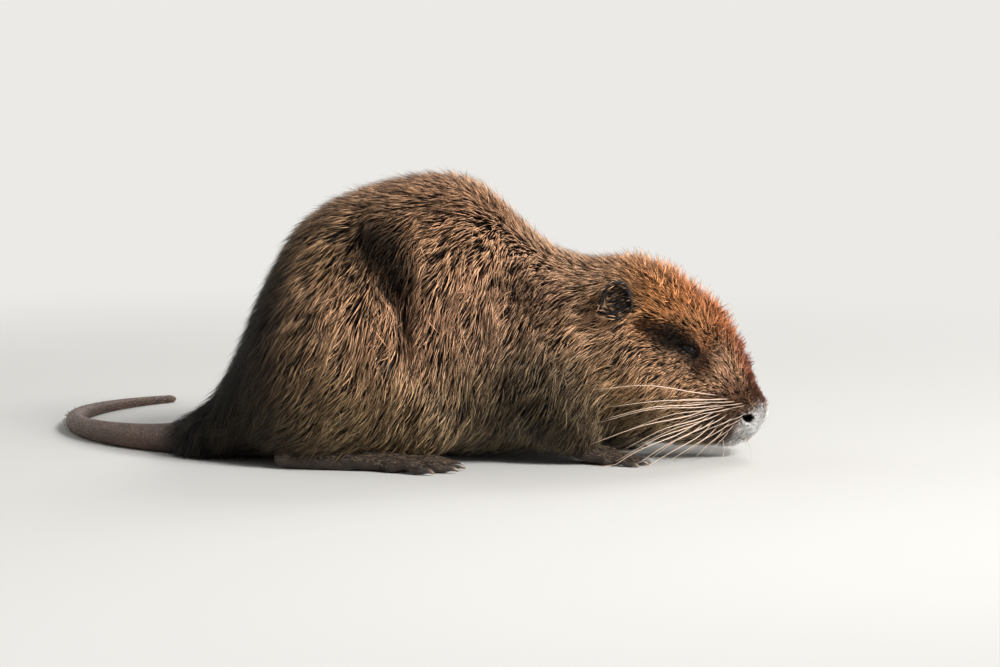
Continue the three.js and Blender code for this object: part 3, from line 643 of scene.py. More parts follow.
def merge_into(base, other):
    """Adds another object's faces to an object, without joining them."""
    whole = bmesh.new()
    whole.from_mesh(base.data)
    whole.from_mesh(other.data)
    whole.to_mesh(base.data)
    whole.free()
    bpy.data.objects.remove(other)


# ---- The skin: tail -------------------------------------------------------------------------


def tail_line(count, start=0.0):
    """The tail's middle line, the distance along it and its radius, laid on the floor."""
    along = np.linspace(start, TAIL_LENGTH - 0.05, count)
    heading = np.radians(np.interp(along, [0, TAIL_LENGTH], TAIL_TURNS))
    gap = along[1] - along[0]
    x = TAIL_ROOT[0] - start - np.cumsum(np.cos(heading)) * gap
    y = TAIL_ROOT[1] + np.cumsum(np.sin(heading)) * gap
    share = np.clip(along / TAIL_LENGTH, 0, 1)
    radius = 10.6 + (2.9 - 10.6) * share**0.8 + 3.5 * np.exp(-np.maximum(along, 0) / 18)
    tip = np.clip((TAIL_LENGTH - along) / 6, 0.005, 1)
    rounded = np.sqrt(1 - (1 - tip) ** 2)
    radius = radius * rounded
    full = radius / np.maximum(rounded, 0.05)
    line = np.stack([HUMP_X + x * MM, MID_Y + y * MM, (full - 0.6) * MM], 1)
    return line, along, radius * MM


def tail_skin():
    """A round tail in rings of scales, whose free edges stand a little proud behind."""
    line, along, radius = tail_line(620, -16.0)
    ring = (along / TAIL_RING) % 1
    proud = np.where(along > 4, 0.22 * (ring - 0.5) * step(radius / MM, 1, 4), 0)
    tail = joined("tail", [tube(line, radius + proud * MM, 44)])
    points = points_of(tail.data)
    points[:, 2] = np.maximum(points[:, 2], LEAST_LIFT * MM)
    move_points(tail.data, points)
    return tail


# ---- The skin: ears -------------------------------------------------------------------------


def ear_skin(name, side):
    """A small round cup with a rolled rim, open outwards and forwards, notched low in front."""
    low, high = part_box(f"ear_{name}")
    forward_turn, lift = 0.5, 0.25  # how far the mouth of the cup faces forward and up
    mouth = unit(np.array([math.sin(forward_turn), math.cos(forward_turn) * side, math.sin(lift)]))
    front = unit(np.array([1, 0, -0.1]) - mouth * mouth[0])
    top = np.cross(front, mouth) * side
    top = top if top[2] > 0 else -top
    wide, tall, deep, wall = 11.6, 13.4, 13.0, 1.5
    centre = np.array((low + high) / 2)
    centre[1] = (high.y if side > 0 else low.y) - side * 2.5 * MM
    centre[2] += 2 * MM
    outer = np.linspace(0.03, 0.5, 22) * math.pi
    roll = np.linspace(0, math.pi, 9)[1:-1]
    inner = np.linspace(0.5, 0.04, 22) * math.pi
    rows = [(np.sin(a), -np.cos(a), 0) for a in outer]
    rows += [(1, 0, a) for a in roll] + [(np.sin(a), -np.cos(a), math.pi) for a in inner]
    around = 72
    angle = np.arange(around) * 2 * math.pi / around
    fore, high_up = np.cos(angle), np.sin(angle)
    notch = np.exp(-(((angle - 5.45) / 0.34) ** 2))  # low in front
    thick = wall + 1.5 * np.exp(-(((angle - 1.0) / 1.1) ** 2))  # the rim is thickest at the top
    # Ridges inside the back of the cup: where round it, how wide, how far out, how high.
    ridges = ((3.3, 0.22, 0.8, 2.6), (3.95, 0.2, 0.66, 3.2), (4.55, 0.18, 0.84, 2.4))
    lobe = 0.09 * np.exp(-(((angle - 3.55) / 0.28) ** 2)) - 0.07 * np.exp(-(((angle - 2.9) / 0.25) ** 2))
    points = []
    for radial, height, turn in rows:
        inward = thick * (1 - math.cos(turn)) / 2
        lip = thick * math.sin(turn) / 2
        inside = turn == math.pi
        ridge = sum(
            high * np.exp(-(((angle - at) / spread) ** 2) - ((radial - middle) / 0.16) ** 2)
            for at, spread, middle, high in ridges
        ) * inside
        reach = np.maximum(radial - (inward + ridge) / 12.5, 0.03)
        rim_drop = notch * 5.5 * radial**6 + 1.6 * np.sin(2 * angle + 0.4) * radial**4
        rise = height * (deep - (4.0 if inside else 0)) + lip - rim_drop
        wave = 1 + 0.04 * np.sin(2 * angle + 0.8) + 0.028 * np.sin(5 * angle + 2) + lobe
        place = np.outer(fore * wide * reach * wave, front) + np.outer(high_up * tall * reach * wave, top)
        points.append(centre + (place + np.outer(rise, mouth)) * MM)
    quads, caps = ring_faces(len(rows), around)
    if np.dot(np.cross(front, top), mouth) < 0:
        quads, caps = quads[:, ::-1], caps[:, ::-1]
    ear = mesh_object("ear", np.concatenate(points), quads, caps)
    shell = bmesh.new()
    shell.from_mesh(ear.data)
    bmesh.ops.recalc_face_normals(shell, faces=shell.faces)
    shell.to_mesh(ear.data)
    shell.free()
    return ear


# ---- The skin: eyelids, nostrils and mouth --------------------------------------------------

NOSTRIL = (8, -5.8)  # back from the nose and up, as seen from the side
LID_HALF_LENGTH = 6.0
UPPER_LID, LOWER_LID = 2.1, 1.9  # how far the opening reaches above and below its long axis
LID = 0.85  # how thick the lids are over the ball


def facing(outward, toward):
    """Three directions at a place on the head: toward, above and outward."""
    out = unit(np.asarray(outward, float))
    toward = unit(toward - out * np.dot(toward, out))
    above = np.cross(out, toward)
    return np.array([toward, above if above[2] > 0 else -above, out])


def eye_facing(side):
    """The three directions at an eye, which looks outwards and a little forward and up."""
    return facing([0.2, side, 0.2], -HEAD_BACK)


def lid_opening(u, v):
    """Below 1 inside the almond between the lids, 1 on their edge; the lower lid is flatter."""
    half = np.where(v > 0, UPPER_LID, LOWER_LID)
    return (np.abs(u / LID_HALF_LENGTH) ** 1.7 + np.abs(v / half) ** 1.9) ** (1 / 1.8)


def with_eyelids(points, side):
    """Draws lids over the ball, with a thick edge round the opening and a fold above it."""
    turned = eye_facing(side)
    u, v, w = ((points - EYES[side]) @ turned.T / MM).T
    off = np.hypot(u, v)
    near = (off < 17) & (w > -3)
    ball = EYE_RADIUS / MM
    opening = lid_opening(u, v)
    past = (opening - 1) * 3.6  # about millimetres outside the edge
    lid = np.sqrt(np.maximum((ball + LID) ** 2 - off**2, 0))
    lid = np.where(off < ball + LID, lid, -(off - ball))
    edge = 0.35 * np.exp(-(((past - 0.6) / 0.5) ** 2))
    fold = -0.55 * np.exp(-(((past - 2.6) / 0.6) ** 2)) * step(v, -1, 2)
    bag = -0.35 * np.exp(-(((past - 2.2) / 0.6) ** 2)) * step(-v, -1, 2)
    width = 1.6
    mix = np.clip(0.5 + (lid - w) / (2 * width), 0, 1)
    outside = w + (lid - w) * mix + width * mix * (1 - mix) + (edge + fold + bag) * (off < 12)
    behind = np.sqrt(np.maximum((ball - 1.6) ** 2 - off**2, 0)) - 0.4
    inside = step(-past, 0.0, 0.5)
    level = outside * (1 - inside) + np.minimum(behind, outside) * inside
    fade = 1 - step(off, 12, 17)
    change = np.where(near, (level - w) * fade, 0)
    return points + np.outer(change * MM, turned[2]), np.where(near, opening, 9.0)


def on_side(tree, along, up, side):
    """Where a place on the head's side view meets the skin, and the normal there."""
    start = Vector(in_head(along, up, 70 * side))
    place, normal, _, _ = tree.ray_cast(start, Vector((0, -side, 0)))
    return (None, None) if place is None else (np.array(place), np.array(normal))


def with_nostril(points, centre, outward):
    """Opens a slanting nostril with a raised wing round it."""
    turned = facing(outward, HEAD_BACK - HEAD_UP * 0.4)
    u, v, w = ((points - centre) @ turned.T / MM).T
    near = (np.hypot(u, v) < 10) & (np.abs(w) < 8)
    size = np.hypot(u / 4.4, (v - 0.05 * u**2 * np.sign(u)) / 3.1)
    hole = -6.0 * (1 - step(size, 0.5, 1.1))
    wing = 0.75 * np.exp(-(((size - 1.55) / 0.4) ** 2))
    change = np.where(near, hole + wing, 0)
    ahead = np.hypot((u + 1.8) / 4.0, v / 3.0)  # hair that starts here would lie over the hole
    return points + np.outer(change * MM, turned[2]), np.where(near, np.minimum(size, ahead + 0.1), 9.0)


def with_mouth(points, normals):
    """The closed mouth: a groove under the lips that the lip groove comes down to."""
    along, up, side = head_places(points)
    line = -20.5 - 0.24 * np.maximum(along, 0) - 0.03 * side**2
    front = 1 - step(along, 26, 36)
    groove = np.exp(-(((up - line) / 1.1) ** 2))
    lips = np.exp(-(((np.abs(up - line) - 3.0) / 1.8) ** 2))
    middle = np.exp(-((side / 0.9) ** 2)) * step(up, -21, -18) * (1 - step(up, -9, -6)) * (along < 9)
    change = (0.7 * lips - 2.0 * groove) * front - 1.0 * middle
    return points + normals * (change * MM)[:, None]


def cut_finer(mesh, chosen, longest):
    """Halves the edges round the chosen vertices until none is longer than asked."""
    fine = bmesh.new()
    fine.from_mesh(mesh)
    bmesh.ops.triangulate(fine, faces=[f for f in fine.faces if any(chosen(v.co) for v in f.verts)])
    for _ in range(4):
        long = [e for e in fine.edges
                if e.calc_length() > longest * MM * 1.35 and any(chosen(v.co) for v in e.verts)]
        middles = [bmesh.utils.edge_split(e, e.verts[0], 0.5)[1] for e in long]
        for face in list(dict.fromkeys(f for v in middles for f in v.link_faces)):
            split_round(face, set(middles))
    fine.to_mesh(mesh)
    fine.free()


def split_round(face, middles):
    """Cuts a triangle with one to three new corners on its edges into plain triangles."""
    ring = list(face.verts)
    new = [i for i, v in enumerate(ring) if v in middles]
    if len(new) == 1:
        bmesh.utils.face_split(face, ring[new[0]], ring[(new[0] + 2) % 4])
        return
    for first, second in zip(new, new[1:] + new[:1]):
        if (second - first) % len(ring) != 2:
            continue
        corner = ring[(first + 1) % len(ring)]
        home = next(f for f in corner.link_faces if ring[first] in f.verts and ring[second] in f.verts)
        bmesh.utils.face_split(home, ring[first], ring[second])
        if len(new) == 2:
            rest = next(f for f in ring[first].link_faces if len(f.verts) == 4 and ring[second] in f.verts)
            bmesh.utils.face_split(rest, ring[first], ring[(second + 1) % len(ring)])
            return


def near_any(places, reach):
    """A test of whether a point is near one of the places."""
    spots = [Vector(place) for place in places]
    return lambda co: any((co - spot).length < reach * MM for spot in spots)


def whole_skin():
    """One closed skin for all the flesh, with its finer forms and what the materials read."""
    skin = body_skin()
    parts = [(ear_skin(name, side), EAR_SKIN) for name, side in SIDES.items()]
    for foot in (HIND_FOOT, FORE_FOOT):
        parts += [(foot_skin(foot, side), FOOT_SKIN) for side in SIDES.values()]
    parts += [(tail_skin(), TAIL_SKIN)]
    for made, slot in [(skin, FUR_SKIN), *parts]:
        for material in SKIN_MATERIALS:
            made.data.materials.append(material)
        faces = made.data.polygons
        faces.foreach_set("material_index", np.full(len(faces), slot, np.int32))
    united(skin, [made for made, _ in parts])
    mesh = skin.data
    soften_seams(mesh)
    tree = tree_of(mesh)
    nostrils = [on_side(tree, *NOSTRIL, side) for side in SIDES.values()]
    cut_finer(mesh, near_any([in_head(10, -8, 0)], 30), 1.1)
    cut_finer(mesh, near_any([place for place, _ in nostrils], 7.5), 0.5)
    cut_finer(mesh, near_any([in_head(6, -22, s) for s in (-10, 0, 10)], 9), 0.7)
    cut_finer(mesh, near_any(EYES.values(), 14), 1.0)
    cut_finer(mesh, near_any([EYES[s] + eye_facing(s)[2] * 4 * MM for s in (1, -1)], 8.5), 0.36)
    points = points_of(mesh)
    points = with_mouth(points, normals_of(mesh))
    bare = np.zeros(len(points))
    for side in SIDES.values():
        points, opening = with_eyelids(points, side)
        bare = np.maximum(bare, 1 - step(opening, 1.15, 1.4))
    for place, normal in nostrils:
        points, opening = with_nostril(points, place, normal)
        bare = np.maximum(bare, 1 - step(opening, 1.05, 1.35))
    move_points(mesh, points)
    mesh.shade_smooth()
    shares = zone_shares(points)
    store(mesh, "under", zone_values("under", shares), "FLOAT_COLOR")
    store(mesh, "bare", bare)
    store(mesh, "tail_place", tail_places(points), "FLOAT_VECTOR")
    return skin, bare


def soften_seams(mesh):
    """Rounds the valleys where the feet, ears and tail grow out of the body."""
    triangles, faces = triangles_of(mesh)
    slots = slots_of(mesh)[faces]
    low = np.full(len(mesh.vertices), 99)
    high = np.full(len(mesh.vertices), -1)
    for k in range(3):
        np.minimum.at(low, triangles[:, k], slots)
        np.maximum.at(high, triangles[:, k], slots)
    seam = (low != high).astype(float)
    edges = edges_of(mesh)
    for _ in range(4):
        seam = np.maximum(seam, 0.85 * most_around(seam, edges))
    move_points(mesh, relaxed(points_of(mesh), edges, 8, 0.5, seam[:, None]))


def most_around(values, edges):
    """The largest value at each vertex and its neighbours."""
    out = values.copy()
    np.maximum.at(out, edges[:, 0], values[edges[:, 1]])
    np.maximum.at(out, edges[:, 1], values[edges[:, 0]])
    return out


def tail_places(points):
    """Distance along the tail and round it, in millimetres, for the scales."""
    places = np.zeros((len(points), 3))
    line, along, _ = tail_line(340)
    on_tail = np.flatnonzero((points[:, 0] < in_body(-140, 0, 0)[0]) & (points[:, 2] < 42 * MM))
    for chunk in np.array_split(on_tail, max(len(on_tail) // 4000, 1)):
        apart = ((points[chunk][:, None] - line[None]) ** 2).sum(2)
        near = apart.argmin(1)
        off = points[chunk] - line[near]
        forward = np.gradient(line, axis=0)[near]
        side = unit(np.cross(forward, UP))
        angle = np.arctan2(off[:, 2], (off * side).sum(1))
        more = (off * unit(forward)).sum(1) / MM
        places[chunk, 0] = along[near] + more
        places[chunk, 1] = angle * 9.0
    return places


# ---- The coat -------------------------------------------------------------------------------

# The top of the head, where the hair stands up: back from the nose, and up.
HEAD_TOP = ((4, 22, 38, 56, 76, 118, 142), (9, 22, 34, 44, 49, 49, 38))


def scatter(mesh, weights, count, rng):
    """Random places on the faces, by the weight of each triangle, with normals."""
    triangles, _ = triangles_of(mesh)
    points, normals = points_of(mesh), normals_of(mesh)
    corners = points[triangles]
    a, b, c = corners.transpose(1, 0, 2)
    area = np.linalg.norm(np.cross(b - a, c - a), axis=1) / 2
    chance = np.cumsum(area * weights)
    picked = np.searchsorted(chance, (np.arange(count) + rng.random(count)) / count * chance[-1])
    picked = np.minimum(picked, len(triangles) - 1)
    a, b = np.sqrt(rng.random(count)), rng.random(count)
    mix = np.stack([1 - a, a * (1 - b), a * b], 1)[:, :, None]
    return (corners[picked] * mix).sum(1), unit((normals[triangles[picked]] * mix).sum(1))


def nearest_on(tree, points):
    """For each point, the nearest place on the skin and its normal."""
    places, normals = np.empty_like(points), np.empty_like(points)
    for i, point in enumerate(points.tolist()):
        place, normal, _, _ = tree.find_nearest(point)
        places[i] = place
        normals[i] = normal
    return places, normals


def walk(tree, roots, normals, direction_at, length, rise, loose, swing, stations):
    """Lays each lock along the skin: it starts in the skin and its tip stands off by the rise.
    A loose lock keeps more to the way it set out in. Swing turns it aside on the skin."""
    here, out = roots, normals
    straight = None
    line, ups = [roots - normals * 0.5 * MM], [normals]
    level = np.sqrt(np.maximum(length**2 - rise**2, (0.3 * length) ** 2))
    done = 0.0
    for share in np.diff(stations):
        way = direction_at(here)
        way = unit(way - out * (way * out).sum(1, keepdims=True))
        side = np.cross(out, way)
        way = way * np.cos(swing)[:, None] + side * np.sin(swing)[:, None]
        if straight is None:
            straight = way
        here, new_out = nearest_on(tree, here + way * (level * share)[:, None])
        out = unit(out * 0.35 + new_out * 0.65)
        done += share
        height = rise * done**0.8
        on_skin = here + out * height[:, None]
        on_ray = roots + straight * (level * done)[:, None] + normals * height[:, None]
        line.append(on_skin + (on_ray - on_skin) * loose[:, None])
        ups.append(out)
    return np.stack(line, 1), np.stack(ups, 1)


def clumped(paths, strength, every, leading, rng):
    """Draws neighbouring locks together towards the tips of the leading ones."""
    count = len(paths)
    guides = rng.choice(count, max(count // every, 1), replace=False, p=leading / leading.sum())
    tree = KDTree(len(guides))
    for i, guide in enumerate(guides):
        tree.insert(paths[guide, 0], i)
    tree.balance()
    mine = np.array([guides[tree.find(p)[1]] for p in paths[:, 0]])
    pull = strength[mine] * rng.uniform(0.6, 1.0, count)
    t = np.linspace(0, 1, paths.shape[1])
    share = pull[:, None, None] * (t**1.4)[None, :, None]
    same_way = ((paths[:, -1] - paths[:, 0]) * (paths[mine, -1] - paths[mine, 0])).sum(1) > 0
    return paths + (paths[mine] - paths) * share * same_way[:, None, None]


def lock_mesh(name, paths, ups, widths, under, tip, lots, roots, normals):
    """Closed, three-sided locks along paths, with their colours and the bake's map."""
    count, stations, _ = paths.shape
    rings = stations - 1  # the last station is the tip
    way = unit(np.gradient(paths, axis=1))
    side = unit(np.cross(way, ups))
    over = np.cross(side, way)
    taper = {3: [0.85, 0.9], 4: [0.7, 1.0, 0.72]}[stations]  # width at each ring
    half = widths[:, None, None] * np.array(taper)[None, :, None] / 2
    body, side, over = paths[:, :-1], side[:, :-1], over[:, :-1]
    corners = [side * half - over * half * 0.15, over * half * 0.35, -side * half - over * half * 0.15]
    ring_points = np.stack([body + corner for corner in corners], 2).reshape(count, -1, 3)
    points = np.concatenate([ring_points, paths[:, -1:]], 1)
    each = points.shape[1]
    faces = [[2, 1, 0]]
    for ring in range(rings - 1):
        for k in range(3):
            a, b = ring * 3 + k, ring * 3 + (k + 1) % 3
            faces += [[a, b, b + 3], [a, b + 3, a + 3]]
    top = (rings - 1) * 3
    faces += [[top + k, top + (k + 1) % 3, each - 1] for k in range(3)]
    faces = np.array(faces)
    all_faces = (np.arange(count)[:, None, None] * each + faces[None]).reshape(-1, 3)
    points[..., 2] = np.maximum(points[..., 2], 0.25 * MM)
    made = mesh_object(name, points.reshape(-1, 3), all_faces)
    along = np.append(np.repeat(np.linspace(0, 1, stations)[:-1], 3), 1.0)
    across = np.append(np.tile([0.0, 0.5, 1.0], rings), 0.5)
    strand = np.stack([np.tile(across, count), np.tile(along, count), np.repeat(lots, each)], 1)
    store(made.data, "strand", strand, "FLOAT_VECTOR")
    store(made.data, "under", np.repeat(under, each, 0), "FLOAT_COLOR")
    store(made.data, "tip", np.repeat(tip, each, 0), "FLOAT_COLOR")
    patch = 0.003  # size of a lock's place on the map
    places = unwrapped(roots, normals)[:, None] + np.stack([across, along], 1)[None] * patch
    uv = made.data.uv_layers.new(name="OFBake")
    uv.data.foreach_set("uv", places.reshape(-1, 2)[all_faces.ravel()].ravel().astype(np.float32))
    return made


def unwrapped(roots, normals):
    """Where each root lies on the piece's own skin, cut into sheets by the way it faces and laid
    out one above the other, each as high as its share of the locks."""
    axis = np.abs(normals).argmax(1)
    sheet = axis * 2 + (normals[np.arange(len(roots)), axis] > 0)
    places = np.zeros((len(roots), 2))
    base = 0.0
    for number in np.unique(sheet):
        chosen = sheet == number
        share = chosen.mean()
        flat = np.delete(roots[chosen], number // 2, axis=1)
        flat = (flat - flat.min(0)) / np.maximum(np.ptp(flat, axis=0), 1e-6)
        places[chosen, 0] = 0.002 + flat[:, 0] * 0.992
        places[chosen, 1] = base + 0.0005 + flat[:, 1] * max(share - 0.004, 0)
        base += share
    return places


def lock_colours(shown, length, rng):
    """The colours of locks, by the place where each one shows, mottled and a little uneven, and
    darker in the folds, where shade is painted on. The place is taken a little off, more for
    long hair, so that the markings run into each other."""
    off = rng.normal(0, 1, shown.shape) * length[:, None] * 0.12
    shares = zone_shares(shown + off * MM)
    # Painted shade: the locks are made darker where the folds of the skin are deep.
    hollow = np.exp(-0.16 * np.maximum(folds(shown), 0))[:, None]
    mottle = 0.16 * drift(shown, 34 * MM, 11) + 0.2 * drift(shown, 9 * MM, 12)
    uneven = np.exp(mottle + rng.normal(0, 0.32, len(shown)))[:, None]
    tip = zone_values("tip", shares)
    under = zone_values("under", shares)
    darker = rng.normal(-0.45, 0.35, (len(shown), 1))
    under = under * np.exp(darker * (1 - under.max(1, keepdims=True)))  # white hair has white roots
    under = under + tip * rng.uniform(0, 0.025, (len(shown), 1))
    uneven = np.minimum(uneven, 0.97 / tip.max(1, keepdims=True))  # keeps the hue of the palest
    return under * hollow, tip * uneven * hollow


def coat_weights(mesh, bare):
    """How close together the locks stand on each triangle: closer where they are short and thin,
    fewer under the belly, and none on feet, tail, lids and nostrils."""
    triangles, faces = triangles_of(mesh)
    middles = points_of(mesh)[triangles].mean(1)
    shares = zone_shares(middles)
    need = 1 / (zone_values("length", shares) * zone_values("width", shares))
    facing_down = -normals_of(mesh)[triangles].mean(1)[:, 2]
    hidden = 0.55 * step(facing_down, 0.35, 0.85) * (middles[:, 2] < 30 * MM)
    slots = slots_of(mesh)[faces]
    furred = (slots == FUR_SKIN) * 1.0 + (slots == EAR_SKIN) * EAR_HAIR
    return need * furred * (1 - hidden) * (1 - bare[triangles].max(1))


def main_coat(skin, bare, tree):
    """The whole coat, in pieces by region, each small enough to handle."""
    rng = np.random.default_rng(7)
    roots, out = scatter(skin.data, coat_weights(skin.data, bare), LOCKS, rng)
    shares = zone_shares(roots)
    along, up, _ = head_places(roots)
    # How much the hair stands up: most on the crown, less down the snout's sides.
    upright = 0.62 * step(up - np.interp(along, *HEAD_TOP), -18, -7) * (1 - step(along, 104, 138))
    kind = rng.random(LOCKS)
    wool, guard = kind < WOOL_SHARE, kind > 1 - GUARD_SHARE
    stray = guard & (rng.random(LOCKS) < STRAY_SHARE)
    spike = guard & (upright > 0.2) & (rng.random(LOCKS) < SPIKE_SHARE)

    def by_kind(spans):
        for_wool, for_guard, for_cover = (rng.uniform(*span, LOCKS) for span in spans)
        return np.where(wool, for_wool, np.where(guard, for_guard, for_cover))

    length = zone_values("length", shares) * by_kind(LENGTH_SHARES)
    level = by_kind(LEVEL_SHARES)
    level = upright * 0.3 + (1 - upright * 0.3) * level
    level = np.where(spike, rng.uniform(1.0, 1.7, LOCKS), np.where(stray, 1.25, level))
    depth = zone_values("depth", shares)
    length = np.where(spike, np.maximum(length, depth * level * 1.15), length)
    width = zone_values("width", shares) * by_kind(WIDTH_SHARES)
    width = np.where(spike, width * 2.2, width)
    # Hair near the floor hangs freely; elsewhere it keeps to the skin.
    loose = 0.22 + 0.5 * (1 - step(roots[:, 2] / MM, 16, 48)) * (along > 40)
    swing = np.radians(11 * drift(roots, 26 * MM, 3) + 7 * drift(roots, 8 * MM, 4))
    swing = swing + rng.normal(0, np.radians(8), LOCKS) * np.where(spike, 5, np.where(stray, 3, 1))
    long = length > LONG_LOCK
    region = np.array([zone.piece for zone in ZONES])[shares.argmax(1)]
    sided = np.where(roots[:, 1] > MID_Y, "left", "right")
    lots = np.where(guard, 0.38 + 0.62 * rng.random(LOCKS), 0.5 * rng.random(LOCKS))
    lots = np.where(spike, 1.2, lots)  # these have dark ends
    pieces = []
    for size, stations in (("long", LONG_STATIONS), ("short", SHORT_STATIONS)):
        chosen = np.flatnonzero(long == (size == "long"))
        paths, ups = walk(
            tree, roots[chosen], out[chosen],
            lambda p: lie_of_hair(p, zone_shares(p)),
            length[chosen] * MM, (depth * level)[chosen] * MM, loose[chosen], swing[chosen], stations,
        )
        under, tip = lock_colours((paths[:, -1] + paths[:, -2]) / 2, length[chosen], rng)
        strength = np.clip(rng.normal(0.36, 0.2, len(chosen)) + 0.4 * upright[chosen], 0, 0.9)
        paths = clumped(paths, strength, CLUMP, 1.0 + 20 * spike[chosen], rng)
        bend = rng.normal(0, 0.45, (len(chosen), 1))
        bend = bend * np.sin(stations * rng.uniform(2, 6, (len(chosen), 1)))
        side = unit(np.cross(unit(paths[:, -1] - paths[:, 0]), out[chosen]))
        paths = paths + side[:, None] * (bend * MM * (length[chosen] / 24)[:, None])[..., None]
        names = np.array([f"{r}_{s}" for r, s in zip(region[chosen], sided[chosen])])
        for name in np.unique(names):
            mine = np.flatnonzero(names == name)
            blocks = np.array_split(mine, math.ceil(len(mine) / LOCKS_IN_A_PIECE))
            for part, block in enumerate(blocks, 1):
                label = f"coat_{name}_{size}" + (f"_{part}" if len(blocks) > 1 else "")
                at = chosen[block]
                pieces.append(lock_mesh(
                    label, paths[block], ups[block], width[at] * MM, under[block], tip[block], lots[at],
                    roots[at], out[at],
                ))
    return pieces


# ---- Materials ------------------------------------------------------------------------------


def add(tree, kind, inputs=(), **settings):
    """Adds a node with its settings; an input is a value, or another node's output to link."""
    made = tree.nodes.new("ShaderNode" + kind)
    for name, value in settings.items():
        setattr(made, name, value)
    for socket, value in dict(inputs).items():
        if isinstance(value, bpy.types.NodeSocket):
            tree.links.new(value, made.inputs[socket])
        else:
            made.inputs[socket].default_value = value
    return made


def rgba(code):
    """A colour socket's value."""
    return (*colour(code), 1.0)


def ramp(tree, value, low, high, first=0.0, last=1.0, smooth=False):
    """Goes from first to last while the value goes from low to high."""
    ends = {0: value, 1: low, 2: high, 3: first, 4: last}
    way = "SMOOTHSTEP" if smooth else "LINEAR"
    return add(tree, "MapRange", ends, interpolation_type=way).outputs[0]


def blend(tree, share, first, second):
    """Goes from one colour to another with a share from 0 to 1."""
    return add(tree, "Mix", {0: share, 6: first, 7: second}, data_type="RGBA").outputs[2]


def scaled(tree, value, by):
    """A colour made darker or lighter."""
    return add(tree, "VectorMath", {0: value, "Scale": by}, operation="SCALE").outputs[0]


def stretched(tree, value, by):
    """A place on a hair with its directions scaled apart, for streaks."""
    return add(tree, "VectorMath", {0: value, 1: by}, operation="MULTIPLY").outputs[0]


def raised(tree, height, strength, distance):
    """Fine relief in the shading, too small for the mesh."""
    heights = {"Height": height, "Strength": strength, "Distance": distance}
    return add(tree, "Bump", heights).outputs[0]


def noise(tree, place, scale, detail):
    return add(tree, "TexNoise", {"Vector": place, "Scale": scale, "Detail": detail}).outputs[0]


def stored(tree, name, kind="Vector"):
    """What store() has kept on the mesh."""
    return add(tree, "Attribute", attribute_name=name).outputs[kind]


def new_material(name):
    """An empty material and its node tree."""
    made = bpy.data.materials.new(name)
    made.use_nodes = True
    made.node_tree.nodes.clear()
    return made, made.node_tree


def finished(made, kind, inputs):
    """The material with its shader."""
    tree = made.node_tree
    shader = add(tree, kind, inputs)
    tree.links.new(shader.outputs[0], add(tree, "OutputMaterial").inputs[0])
    return made


def guard_hair():
    """Coypu fur, keratin: dark woolly roots, a warm middle and a pale band near a dark tip, so the
    coat looks grizzled. Each lock stands for a few hairs, drawn as streaks along it."""
    made, tree = new_material("guard_hair")
    strand = stored(tree, "strand")
    parts = add(tree, "SeparateXYZ", {0: strand})
    along, lot = parts.outputs["Y"], parts.outputs["Z"]
    root = ramp(tree, along, 0.1, 0.6, 0.3, 1.0, smooth=True)
    shaded = scaled(tree, stored(tree, "under", "Color"), root)
    band = ramp(tree, along, 0.28, 0.5, smooth=True)
    light = ramp(tree, lot, 0.5, 0.58, smooth=True)  # only some of the locks have the pale band
    tipped = add(tree, "Math", {0: band, 1: light}, operation="MULTIPLY").outputs[0]
    banded = blend(tree, tipped, shaded, stored(tree, "tip", "Color"))
    streaks = noise(tree, stretched(tree, strand, (5.0, 1.6, 90.0)), 1.0, 1.0)
    streaked = scaled(tree, banded, ramp(tree, streaks, 0.3, 0.7, 0.72, 1.22))
    dark_end = ramp(tree, lot, 1.0, 1.1, 0.65, 0.12)  # darkest on the hair that stands up
    return finished(made, "BsdfPrincipled", {
        "Base Color": scaled(tree, streaked, ramp(tree, along, 0.72, 1.0, 1.0, dark_end)),
        "Roughness": 0.32,
        "IOR": 1.55,  # keratin
        "Specular IOR Level": 0.15,  # the scales on each hair spread the rest of the shine
    })


def underfur_skin():
    """The skin under the coat, close-felted with grey-brown wool, so it is dark and matt. The
    bare lids and the insides of the nostrils are black and a little smoother; in the nostrils
    the black is partly their dark skin and partly painted shade inside the hole."""
    made, tree = new_material("underfur_skin")
    bare = stored(tree, "bare", "Fac")
    place = add(tree, "TexCoord").outputs["Object"]
    wool = noise(tree, place, 1 / (1.4 * MM), 4.0)
    felt = scaled(tree, stored(tree, "under", "Color"), ramp(tree, wool, 0.3, 0.7, 0.3, 0.9))
    return finished(made, "BsdfPrincipled", {
        # The black of the bare parts: dark skin on the lids; in the nostrils, partly painted shade.
        "Base Color": blend(tree, bare, felt, rgba("#0d0a09")),
        "Roughness": ramp(tree, bare, 0.0, 1.0, 0.9, 0.6),
        "IOR": 1.45,
        "Specular IOR Level": 0.12,
        "Normal": raised(tree, wool, 0.6, 0.3 * MM),
    })


def bare_hide(name, deep, pale, flush):
    """Bare living skin, darker in its creases: a net of fine wrinkles over broad folds."""
    made, tree = new_material(name)
    place = add(tree, "TexCoord").outputs["Object"]
    net = {"Vector": place, "Scale": 1 / (0.9 * MM)}
    cells = add(tree, "TexVoronoi", net, feature="DISTANCE_TO_EDGE")
    crease = ramp(tree, cells.outputs["Distance"], 0.0, 0.16, smooth=True)
    patches = ramp(tree, noise(tree, place, 1 / (9 * MM), 3.0), 0.35, 0.68, smooth=True)
    ground = blend(tree, patches, rgba(pale), rgba(flush))
    fine = noise(tree, place, 1 / (0.5 * MM), 3.0)
    height = add(tree, "Math", {0: fine, 1: 0.35, 2: crease}, operation="MULTIPLY_ADD")
    return finished(made, "BsdfPrincipled", {
        "Base Color": blend(tree, crease, rgba(deep), ground),
        "Roughness": 0.5,
        "IOR": 1.42,  # skin
        "Specular IOR Level": 0.3,
        "Normal": raised(tree, height.outputs[0], 0.8, 0.22 * MM),
    })


